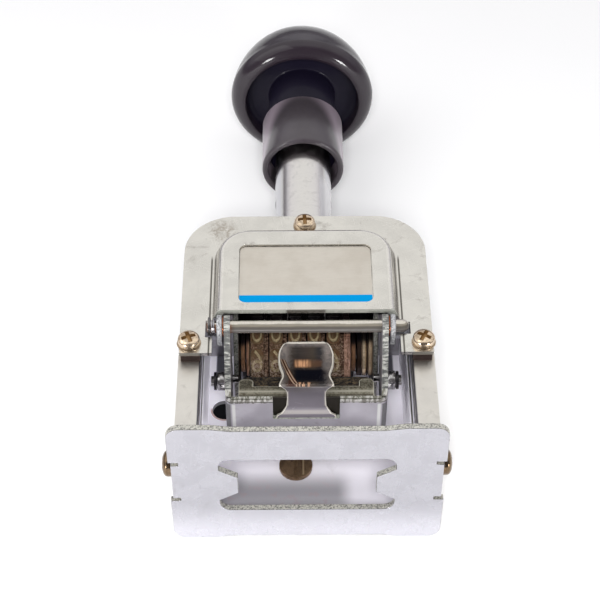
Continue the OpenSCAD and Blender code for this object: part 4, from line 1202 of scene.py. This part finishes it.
class MACHINE_OT_wheels(bpy.types.Operator):
    """Figure wheels with raised figures, and the unit ratchet"""

    bl_idname = "machine.wheels"
    bl_label = "Figure wheels"

    def execute(self, context):
        sizes = context.scene.machine_sizes
        wide, tall, proud = (size / MM for size in (sizes.figure_wide, sizes.figure_tall, sizes.figure_proud))
        low, high = near("digit_wheel_1")
        centre = centre_of("digit_wheel_1")
        rim = (high.z - low.z) / 2 - proud

        def sheen_and_shade(made):
            """Brass with patches, painted glints between the figures, pale figure tops with painted sparkle,
            painted glints on the lower side and painted shade above the shaft.
            """
            across, up = made.y - centre.y, made.z - centre.z
            patches = made.noise(0.9, 4.0, 0.6, 0.5).rise(0.4, 0.62)
            # Painted glints, used between the figures, on their tops and on the lower side
            sparkle = made.noise(1.9, 4.0, 0.75, 0.8, shift=(3.0, 0, 8.0)).rise(0.47, 0.57)
            floor_tone = made.mix(patches, tint(88, 70, 52), tint(78, 50, 38))
            floor_tone = made.mix(sparkle * 0.65, floor_tone, tint(204, 172, 150))
            between = disc(across, up, rim - 0.2, rim + 0.3)
            tops = 1 - disc(across, up, rim + 0.42, rim + 0.62)
            made.coat(patches * 0.6, tint(112, 76, 56))
            made.coat(between, floor_tone)
            # Pale figure tops, with painted sparkle
            made.coat(tops * (0.5 + sparkle * 0.4), tint(208, 190, 150))
            made.coat(made.edge * (1 - between) * 0.5, tint(60, 46, 34))
            # Painted glints on the lower side of each wheel
            made.coat((across / rim).fall(-0.93, -0.72) * sparkle * 0.55, tint(232, 210, 194))
            shadowed(made)

        brass = turned_metal(
            "Wheel brass", context.scene.machine_colours.wheel, 0.34, "X", 0.5, (84, 50, 34), wear=0.9,
            shift=11.0, metal=0.65, stain=sheen_and_shade,
        )
        figures = [figure_mesh(char, wide, tall, proud) for char in FIGURES]
        for i in range(WHEELS):
            self.wheel(f"digit_wheel_{i + 1}", centre, rim, figures, brass)
        for figure in figures:
            bpy.data.meshes.remove(figure)
        copper = turned_metal(
            "Ratchet copper", tint(218, 176, 154), 0.3, "X", 0.7, (92, 52, 38), rings=0.8, shift=17.0,
            metal=0.6, stain=shadowed,
        )
        dressed("unit_ratchet", copper, soft=0.12)
        return {"FINISHED"}

    @staticmethod
    def wheel(node, centre, rim, figures, brass):
        """A grooved ring with its figures around it and its ratchet on the right."""
        low, high = near(node)
        ring_w = 3.2
        left, right = low.x, low.x + ring_w
        profile = [(WHEEL_BORE, left), (rim - 1.6, left), (rim - 1.5, left + 0.2), (rim - 0.9, left + 0.2),
                   (rim - 0.8, left), (rim - 0.15, left), (rim, left + 0.15), (rim, right - 0.15),
                   (rim - 0.15, right), (WHEEL_BORE, right)]
        bm = turned_shape(profile, (0, *centre.yz), "X", 60, closed=True)
        ratchet(bm, right - 0.01, high.x, centre, 9.5, 1.3)
        share = math.tau / len(figures)
        for n, figure in enumerate(figures):
            angle = share * (n + 2)
            radial = Vector((0, -math.cos(angle), math.sin(angle)))
            up = Vector((0, -math.sin(angle), -math.cos(angle)))
            turned = Matrix((UNIT["X"], up, radial)).transposed().to_4x4()
            base = Vector(((left + right) / 2, centre.y, centre.z)) + radial * (rim - FIGURE_SUNK)
            placed = figure.copy()
            placed.transform(Matrix.Translation(base) @ turned)
            bm.from_mesh(placed)
            bpy.data.meshes.remove(placed)
        stand_in(bm, node, brass, keep=34, weighted=False)


def figure_mesh(char, wide, tall, proud):
    """One raised figure on its boss, with soft edges, bent to its wheel."""
    bend_r = 11.0
    text = bpy.data.curves.new("figure", "FONT")
    text.body = char
    text.align_x, text.align_y = "CENTER", "CENTER"
    text.size = 1.0
    text.resolution_u = 3
    text.extrude = 0.1
    shown = bpy.data.objects.new("figure", text)
    bpy.context.scene.collection.objects.link(shown)
    bpy.context.view_layer.update()
    mesh = bpy.data.meshes.new_from_object(shown.evaluated_get(bpy.context.evaluated_depsgraph_get()))
    bpy.data.objects.remove(shown)
    bpy.data.curves.remove(text)
    bm = bmesh.new()
    bm.from_mesh(mesh)
    bmesh.ops.remove_doubles(bm, verts=bm.verts, dist=1e-5)
    lows = [min(v.co[k] for v in bm.verts) for k in range(2)]
    highs = [max(v.co[k] for v in bm.verts) for k in range(2)]
    for v in bm.verts:
        v.co.x = (v.co.x - (lows[0] + highs[0]) / 2) / (highs[0] - lows[0]) * wide
        v.co.y = (v.co.y - (lows[1] + highs[1]) / 2) / (highs[1] - lows[1]) * tall
        v.co.z = proud + FIGURE_SUNK if v.co.z > 0 else 0.0
    soften(bm, 0.13, 2, 60)
    boss = bmesh.ops.create_cube(bm, size=2.0)["verts"]
    margin, half_h = 0.28, (proud * 0.5 + FIGURE_SUNK) / 2
    bmesh.ops.scale(bm, vec=(wide / 2 + margin, tall / 2 + margin, half_h), verts=boss)
    bmesh.ops.translate(bm, vec=(0, 0, half_h), verts=boss)
    corners = [e for e in bm.edges if {*e.verts} <= {*boss} and upright(e)]
    rounded = {v for f in round_edges(bm, corners, 1.45, 5) for v in f.verts}
    sides = {e for v in rounded for e in v.link_edges if e.calc_length() > 2}
    bmesh.ops.subdivide_edges(bm, edges=list(sides), cuts=4, use_grid_fill=True)
    for v in bm.verts:
        v.co.z -= v.co.y ** 2 / (2 * bend_r)
    bmesh.ops.recalc_face_normals(bm, faces=bm.faces)
    bm.to_mesh(mesh)
    bm.free()
    return mesh


def ratchet(bm, left, right, centre, r, depth):
    """Adds a saw-toothed disc, each tooth rising slowly and dropping straight."""
    count = len(FIGURES)
    verts = []
    for i in range(count):
        a = math.tau * i / count
        for reach in (r, r - depth):
            verts.append(bm.verts.new((left, centre.y + reach * math.cos(a), centre.z + reach * math.sin(a))))
    face = bm.faces.new(verts)
    made = bmesh.ops.extrude_face_region(bm, geom=[face], use_keep_orig=True)
    moved = [v for v in made["geom"] if isinstance(v, bmesh.types.BMVert)]
    bmesh.ops.translate(bm, vec=(right - left, 0, 0), verts=moved)
    touched = {f for v in verts + moved for f in v.link_faces}
    bmesh.ops.recalc_face_normals(bm, faces=list(touched))


class MACHINE_OT_pawls(bpy.types.Operator):
    """Pawl frame and feed pawl"""

    bl_idname = "machine.pawls"
    bl_label = "Pawls"

    def execute(self, context):
        bronze = turned_metal("Pawl bronze", tint(150, 112, 86), 0.3, grime=0.6, metal=0.6, stain=shadowed)
        dressed("pawl_frame", bronze, soft=0.12)
        steel = plated("Pawl steel", tint(140, 138, 136), 0.32, "X", cloud=0.2, grime=0.5)
        dressed("feed_pawl", steel, soft=0.08)
        return {"FINISHED"}


class MACHINE_OT_bail(bpy.types.Operator):
    """Bail of the ink pad with its pins, posts and clips"""

    bl_idname = "machine.bail"
    bl_label = "Bail"

    def execute(self, context):
        low, high = near("pad_bail")
        bend_r = context.scene.machine_sizes.bend_soft / MM

        def outer_bend(edge):
            a, b = (v.co for v in edge.verts)
            at_corner = all(abs(abs(p.x) - high.x) < 0.02 and abs(p.y - low.y) < 0.02 for p in (a, b))
            return at_corner and abs(a.z - b.z) > 1

        finish = plated(
            "Bail zinc", tint(166, 162, 170), 0.46, "Y", cloud=0.14, grime=0.3, grain=0.7, wear=0.9,
            shift=41.0, edge_tone=(196, 200, 186), metal=0.4, stain=self.sheared,
        )
        dressed("pad_bail", finish, soft=0.16, sheet=1.45, bend=(bend_r, 5, outer_bend))
        steel = turned_metal("Post steel", tint(196, 194, 194), 0.2, dirt=(84, 78, 70))
        for node in ("drive_pins", "stop_posts"):
            dressed(node, steel, soft=0.15)
        dressed("post_clips", turned_metal("Clip black", tint(74, 72, 76), 0.32), soft=0.1)
        return {"FINISHED"}

    @staticmethod
    def sheared(made):
        """Torn metal on the arms' narrow sides, a ragged upper edge on the web, and painted reflections on
        the bends at its ends: a dark band with a bright line beside it.
        """
        low, high = near("pad_bail")
        web_z = 26.0
        x, z = made.x, made.z - web_z
        out = made.y - low.y
        waves = made.noise(0.9, 4.0, 0.7, 0.5, stretch=(1, 0.3, 0.3))
        ragged = waves - 0.5
        front = out.fall(1.25, 1.35)
        teeth = made.noise(1.2, 4.0, 0.75, 0.4, stretch=(0.35, 2.2, 1), shift=(2.0, 7.0, 0)).rise(0.47, 0.6)
        made.coat(made.cut * (1 - front) * 0.9, made.mix(teeth, tint(84, 84, 85), tint(190, 190, 184)))
        torn = (z + 1.1 + ragged * 0.9).rise(-0.1, 0.1) * front
        made.coat(torn * 0.8, made.mix(waves.rise(0.46, 0.56), tint(206, 204, 198), tint(112, 108, 96)))
        top_line = (out + ragged * 0.5).line(0.35, 0.06, 0.16) * z.rise(-0.2, -0.1)
        front_line = (z + ragged * 0.8).line(-0.85, 0.08, 0.2) * z.fall(-0.3, -0.2)
        made.coat(torn * top_line.top(front_line) * 0.9, tint(36, 33, 28))
        # Painted reflections on the bends: a dark band at the ends and a bright line just inside
        face = front * z.fall(-1.7, -1.3)
        made.coat(face * x.size().rise(high.x - 1.4, high.x - 1.0) * 0.75, tint(84, 86, 82))
        made.coat(face * x.size().line(high.x - 1.9, 0.25, 0.5) * 0.8, tint(206, 206, 204))


class MACHINE_OT_pad(bpy.types.Operator):
    """Ink tray and its felt"""

    bl_idname = "machine.pad"
    bl_label = "Ink pad"

    def execute(self, context):
        tones = context.scene.machine_colours
        tray = plated(
            "Tray steel", tones.tray, 0.45, cloud=0.3, grime=0.7, scratch=0.4, grain=2.2, wear=1.0,
            shift=52.0, dirt=(86, 80, 62), metal=0.7, stain=self.underside,
        )
        dressed("ink_tray", tray, soft=0.16)
        crown = context.scene.machine_sizes.felt_crown / MM
        finish = felted("Felt", tones.felt)
        pad = stand_in(self.felt(crown), "felt_pad", finish, keep=70, weighted=False)
        return {"FINISHED"}

    @staticmethod
    def underside(made):
        """Speckled steel; on the wall, painted shade in dark lines and a painted highlight in a bright line;
        pale painted highlights on the edges; and painted shade on the underside.
        """
        low, high = near("ink_tray")
        out = made.y - low.y
        grain = made.noise(1.9, 4.0, 0.74, 0.4).rise(0.4, 0.62)
        wall = made.z.rise(high.z - 0.7, high.z - 0.5)
        made.dull = made.edge * 0.85
        made.coat(grain * 0.6, tint(104, 98, 80))
        # Painted shade and a painted highlight across the wall
        made.coat(wall * out.line(3.8, 0.9, 1.6) * (0.35 + grain * 0.4), tint(58, 54, 44))
        made.coat(wall * out.line(1.8, 0.15, 0.4) * 0.8, tint(226, 222, 206))
        made.coat(wall * out.fall(0.8, 1.1) * 0.6, tint(66, 62, 50))
        # Pale painted highlights on the edges, which are dulled
        made.coat(made.edge * 0.85, tint(206, 202, 186))
        # Painted shade on the underside
        made.coat(out.fall(0.15, 0.35), tint(46, 42, 36))

    @staticmethod
    def felt(crown):
        """A block with soft edges, crowned on its sides."""
        low, high = near("felt_pad")
        centre, half = (low + high) / 2, (high - low) / 2
        bm = bmesh.new()
        bmesh.ops.create_cube(bm, size=2.0)
        round_edges(bm, bm.edges[:], 0.16, 3)
        long_edges = [e for e in bm.edges if e.calc_length() > 1]
        bmesh.ops.subdivide_edges(bm, edges=long_edges, cuts=14, use_grid_fill=True)
        for v in bm.verts:
            p = v.co.copy()
            full_x, full_y, full_z = (1 - min(1, abs(c)) ** 4 for c in p)
            v.co.x = centre.x + p.x * (half.x - 0.1)
            v.co.y = centre.y + p.y * (half.y - crown) + (crown * full_x * full_z if p.y > 0 else -crown)
            v.co.z = centre.z + p.z * (half.z - 0.06) + math.copysign(0.05 * full_x * full_y, p.z)
        tidy(bm)
        return bm


class MACHINE_OT_tab(bpy.types.Operator):
    """Finger tab with its dished scoop"""

    bl_idname = "machine.tab"
    bl_label = "Finger tab"

    def execute(self, context):
        high = near("finger_tab")[1]
        half_t = 0.25
        rows = self.neck_rows(half_t) + self.scoop_rows(half_t, context.scene.machine_sizes.scoop_dish / MM)
        places = (0, 0.13, 0.26, 0.4, 0.54, 0.68, 0.82, 0.955, 1)
        last_row, side = len(rows) - 1, len(places) - 1
        bm = bmesh.new()
        bmesh.ops.create_grid(bm, x_segments=2 * side, y_segments=last_row, size=1.0)
        # Faces on the rim are marked for pale painted highlights
        wear = bm.faces.layers.float.new("edge_wear")
        for face in bm.faces:
            spot = face.calc_center_median()
            face[wear] = float(abs(spot.x) > 0.9 or spot.y > 1 - 1.5 / len(rows))
        for v in bm.verts:
            y, z, half, dished = rows[round((v.co.y + 1) / 2 * last_row)]
            across = math.copysign(places[round(abs(v.co.x) * side)], v.co.x)
            v.co = (across * half, y, z - dished * (1 - across ** 4))
        bmesh.ops.recalc_face_normals(bm, faces=bm.faces)
        bmesh.ops.solidify(bm, geom=bm.faces[:], thickness=half_t * 2)
        bmesh.ops.recalc_face_normals(bm, faces=bm.faces)
        bm.normal_update()
        wear = bm.faces.layers.float["edge_wear"]
        # The rim's sides and end are marked for pale painted highlights
        for face in bm.faces:
            end = face.normal.y > 0.8 and face.calc_center_median().y > high.y - 2
            if abs(face.normal.x) > 0.75 or end:
                face[wear] = 1.0
        soften(bm, 0.14, 3, 50)
        chrome = plated(
            "Tab chrome", tint(214, 211, 212), 0.16, "Y", cloud=0.12, grime=0.2, scratch=0.7, grain=0.2,
            shift=61.0, stain=self.scoop_reflections,
        )
        stand_in(bm, "finger_tab", chrome, keep=50)
        return {"FINISHED"}

    @staticmethod
    def neck_rows(half_t):
        """Rows of the neck from the web to the fold: y, z, half width and dish."""
        low, high = near("finger_tab")
        web_y = near("pad_bail")[0].y
        fold_r = 0.55
        heights = [(0.05, 7.1, 0.27), (0.8, 6.9, 0.27), (1.5, 5.9, 0.3), (2.6, 5.1, 0.75), (3.6, 4.65, 0.9),
                   (6.0, 4.5, 0.9), (8.6, 4.5, 0.7), (9.8, 4.7, 0.3), (11.0, 5.1, -0.2)]
        rows = [(web_y + push, low.z + rise, half, 0.0) for rise, half, push in heights]
        rows.append((web_y - 0.62, high.z - 1.1, 5.7, 0.0))
        for degrees in (20, 45, 70):
            a = math.radians(degrees)
            y = low.y + half_t + fold_r * (1 - math.cos(a))
            rows.append((y, high.z - 0.8 + fold_r * math.sin(a), 5.9 + 0.5 * degrees / 90, 0.0))
        return rows

    @staticmethod
    def scoop_rows(half_t, dish):
        """Rows of the scoop from the fold to its round end: y, z, half width and dish."""
        low, high = near("finger_tab")
        reach, sag = high.y - low.y - 0.05, 1.5
        rows = []
        for u in [0.06 + 0.915 * i / 24 for i in range(25)] + [1.0]:
            waist = 6.35 - 0.95 * math.exp(-((u - 0.34) / 0.18) ** 2)
            end = max(0.0, (u - 0.75) / 0.25)
            half = waist - 2.3 * (1 - math.sqrt(max(0.0, 1 - end ** 2)))
            dished = dish * math.sin(math.pi * min(1, u * 1.02)) ** 0.6
            rows.append((low.y + reach * u, high.z - half_t + 0.2 * u - 4 * sag * u * (1 - u), half, dished))
        return rows

    @staticmethod
    def scoop_reflections(made):
        """Painted reflections and shade: browns and a slanted brown streak in the scoop's hollow, a dull dark
        neck below the fold with painted highlights on its flare and sides, and pale painted highlights on the
        edges.
        """
        low, high = near("finger_tab")
        x, out, lift = made.x, made.y - low.y, made.z - low.z
        scoop = (made.z - high.z + (out - 0.4) * 1.5).rise(-1.15, -0.9)
        neck = 1 - scoop
        cloud = made.noise(0.8, 4.0, 0.7, 0.6, shift=(4.0, 0, 1.0)).rise(0.4, 0.62)
        hollow = (x.size() - (4.9 - out.rise(5.1, 7.6) * 0.9) + (cloud - 0.5) * 0.7).fall(-0.9, 0.7)
        hollow = hollow * out.fall(12.1, 13.0) * scoop * (1 - made.edge)
        dull = (hollow * 0.85).top(made.edge * 0.9).top(scoop * 0.5)
        made.dull = dull.top(neck * 0.85)
        # Painted reflections over the scoop, and browns in its hollow
        made.coat(scoop * 0.8, made.mix(cloud, tint(130, 117, 108), tint(82, 72, 66)))
        made.coat(hollow, MACHINE_OT_tab.hollow_reflection(made, x, out))
        # A slanted painted reflection: a brown streak with a light line
        slant = x + 5.5 - (9.3 - out) * 0.4
        strip = slant.size().fall(0.6, 0.8) * out.fall(9.1, 9.7) * scoop
        made.coat(strip, tint(76, 46, 33))
        made.coat(strip * slant.size().line(0.36, 0.08, 0.22), tint(176, 152, 132))
        made.coat(scoop * out.fall(0.15, 0.35) * 0.9, tint(152, 146, 137))
        # Painted shade on the neck below the fold, and painted highlights on its flare and sides
        made.coat(neck * 0.92, made.mix(lift.rise(4.3, 11.8), tint(98, 92, 101), tint(76, 69, 77)))
        flare = lift.rise(1.1, 1.5) * lift.fall(2.1, 2.7)
        sides = x.size().rise(4.0, 4.2) * lift.rise(3.4, 4.0) * lift.fall(9.2, 10.0)
        made.coat(neck * flare.top(sides) * 0.75, tint(156, 151, 148))
        # Pale painted highlights on the edges
        made.coat(made.edge * 0.9, tint(208, 203, 192))

    @staticmethod
    def hollow_reflection(made, x, out):
        """Painted reflections across the hollow: browns, with navy and red brown low down and a copper blotch
        in the middle.
        """
        browns = [(0.08, (62, 54, 48)), (0.3, (38, 33, 31)), (0.52, (52, 43, 38)), (0.66, (58, 50, 42)),
                  (0.8, (36, 35, 38)), (0.92, (42, 42, 45))]
        tone = made.ramp(x / 10 + 0.5, [(place, tint(*rgb)) for place, rgb in browns])
        bands = made.noise(1.0, 3.0, 0.6, stretch=(0.12, 1.6, 0.4)).rise(0.4, 0.65)
        streaks = made.noise(1.0, 3.0, 0.6, stretch=(2.2, 0.2, 0.2)).rise(0.4, 0.6)
        navy = out.rise(2.1, 3.1) * out.fall(6.5, 7.5) * x.line(0.6, 2.6, 4.2)
        red_brown = out.fall(2.5, 3.7) * x.fall(-3.2, -2.6)
        blotch = out.rise(7.3, 8.1) * out.fall(8.9, 9.9)
        low_glow = out.fall(2.0, 2.7) * x.line(-0.8, 1.5, 2.0)
        layers = [
            (bands * 0.3, (76, 66, 60)),
            (navy, (14, 15, 22)),
            (red_brown * 0.8, (68, 38, 29)),
            (blotch * x.fall(3.2, 4.4) * x.rise(-3.2, -2.4) * 0.6, (98, 70, 52)),
            (blotch * x.line(-0.8, 1.2, 2.2) * (0.3 + streaks * 0.65), (206, 156, 116)),
            (low_glow * streaks, (204, 160, 128)),
        ]
        for mask, rgb in layers:
            tone = made.mix(mask, tone, tint(*rgb))
        return tone


class MACHINE_OT_studio(bpy.types.Operator):
    """Floor, lights, surround and camera"""

    bl_idname = "machine.studio"
    bl_label = "Studio"

    def execute(self, context):
        studio = context.scene.machine_studio
        self.make_floor(studio)
        self.make_surround(context, studio)
        self.make_light("Key light", (-0.42, -0.12, 0.5), (0, -0.01, 0.02), (0.6, 0.6), studio.key)
        by_camera = (-0.005, -0.375, 0.398)
        fill = self.make_light("Fill light", by_camera, (0, -0.02, 0.02), (0.1, 0.1), studio.fill)
        fill.visible_glossy = False
        for side, spot in (("Left", (-0.25, -0.38, 0.11)), ("Right", (0.29, -0.36, 0.085))):
            self.make_light(side + " lamp", spot, (0, 0.055, 0.036), (0.08, 0.1), studio.lamp)
        view = context.scene.view_settings
        view.view_transform = "Standard"
        view.look = "None"
        camera = bpy.data.cameras.new("Camera")
        camera.lens = studio.lens
        camera.sensor_width = 36.0
        camera.clip_start, camera.clip_end = 0.01, 20.0
        eye = bpy.data.objects.new("Camera", camera)
        context.scene.collection.objects.link(eye)
        eye.location = studio.eye
        eye.rotation_euler = Euler((math.pi / 2 - studio.pitch, 0, -studio.yaw))
        context.scene.camera = eye
        return {"FINISHED"}

    @staticmethod
    def make_floor(studio):
        """A wide plain floor just under the part, with a black painted shadow under the sight hole."""
        bm = bmesh.new()
        bmesh.ops.create_grid(bm, x_segments=1, y_segments=1, size=3.0)
        bmesh.ops.translate(bm, vec=(0, 0, CAD_BOX[0].z - 2e-5), verts=bm.verts)
        mesh = bpy.data.meshes.new("Floor")
        bm.to_mesh(mesh)
        bm.free()
        paper = Finish("Floor paper", studio.floor, Specular_IOR_Level=0.1)
        weave = paper.noise(0.02, 4.0)
        paper.coat(weave.rise(0.3, 0.7) * 0.2, shade(studio.floor, 0.97))
        # Painted shadow: black under the sight hole
        paper.coat(disc(paper.x - HOLE_X, paper.y - HOLE_Y, 4, 5), (0.01, 0.01, 0.012))
        paper.feed(Roughness=0.8 + weave * 0.1)
        mesh.materials.append(paper.material)
        floor = bpy.data.objects.new("Floor", mesh)
        bpy.context.scene.collection.objects.link(floor)

    @staticmethod
    def make_surround(context, studio):
        """A soft surround that is bright above and darker towards the horizon."""
        world = bpy.data.worlds.new("Surround")
        context.scene.world = world
        world.use_nodes = True
        nodes = NodeTree(world.node_tree)
        direction = nodes.node("ShaderNodeTexCoord", None, None, 0)
        x, y, z = (nodes.node("ShaderNodeSeparateXYZ", None, {0: direction}, i) for i in range(3))
        stops = [
            (0.0, (0.5, 0.5, 0.54)), (0.5, (0.2, 0.19, 0.21)), (0.57, (0.26, 0.25, 0.28)),
            (0.62, (0.7, 0.69, 0.74)), (0.7, (0.95, 0.94, 0.97)), (0.86, (1.0, 1.0, 0.99)),
            (1.0, (1.05, 1.05, 1.04)),
        ]
        sky = nodes.ramp(z * 0.5 + 0.5, stops)
        sky = nodes.mix(x.rise(0.1, 0.7) * z.fall(0.1, 0.4) * 0.5, sky, (0.8, 0.79, 0.84))
        sky = nodes.mix(y.fall(-0.5, -0.05) * 0.94, sky, (0.12, 0.11, 0.115))
        back = nodes.node("ShaderNodeBackground", None, {"Color": sky, "Strength": studio.sky})
        nodes.node("ShaderNodeOutputWorld", None, {"Surface": back})

    @staticmethod
    def make_light(name, place, aim, size, power):
        """A rectangular soft light that looks at a point."""
        light = bpy.data.lights.new(name, "AREA")
        light.shape = "RECTANGLE"
        light.size, light.size_y = size
        light.energy = power
        made = bpy.data.objects.new(name, light)
        bpy.context.scene.collection.objects.link(made)
        made.location = place
        made.rotation_euler = (Vector(aim) - Vector(place)).to_track_quat("-Z", "Y").to_euler()
        return made


GROUPS = {"machine_sizes": MachineSizes, "machine_colours": MachineColours, "machine_studio": MachineStudio}
OPERATORS = (
    MACHINE_OT_base_plate, MACHINE_OT_frame, MACHINE_OT_cover, MACHINE_OT_name_plate, MACHINE_OT_fasteners,
    MACHINE_OT_hangers, MACHINE_OT_stem, MACHINE_OT_knob, MACHINE_OT_carriage, MACHINE_OT_wheels,
    MACHINE_OT_pawls, MACHINE_OT_bail, MACHINE_OT_pad, MACHINE_OT_tab, MACHINE_OT_studio,
)


class MACHINE_PT_pieces(bpy.types.Panel):
    """Lists the machine's pieces, sizes and colours"""

    bl_idname = "MACHINE_PT_pieces"
    bl_label = "Numbering machine"
    bl_space_type = "VIEW_3D"
    bl_region_type = "UI"
    bl_category = "Machine"

    def draw(self, context):
        for operator in OPERATORS:
            self.layout.operator(operator.bl_idname)
        for key in GROUPS:
            group = getattr(context.scene, key)
            box = self.layout.box()
            for prop in group.__annotations__:
                box.prop(group, prop)


def register():
    for cls in (*GROUPS.values(), *OPERATORS, MACHINE_PT_pieces):
        bpy.utils.register_class(cls)
    for key, cls in GROUPS.items():
        setattr(bpy.types.Scene, key, PointerProperty(type=cls))


def unregister():
    for key in GROUPS:
        delattr(bpy.types.Scene, key)
    for cls in reversed((*GROUPS.values(), *OPERATORS, MACHINE_PT_pieces)):
        bpy.utils.unregister_class(cls)


def main():
    """Builds every piece in order."""
    register()
    for operator in OPERATORS:
        group, name = operator.bl_idname.split(".")
        getattr(getattr(bpy.ops, group), name)()


if __name__ == "__main__":
    main()
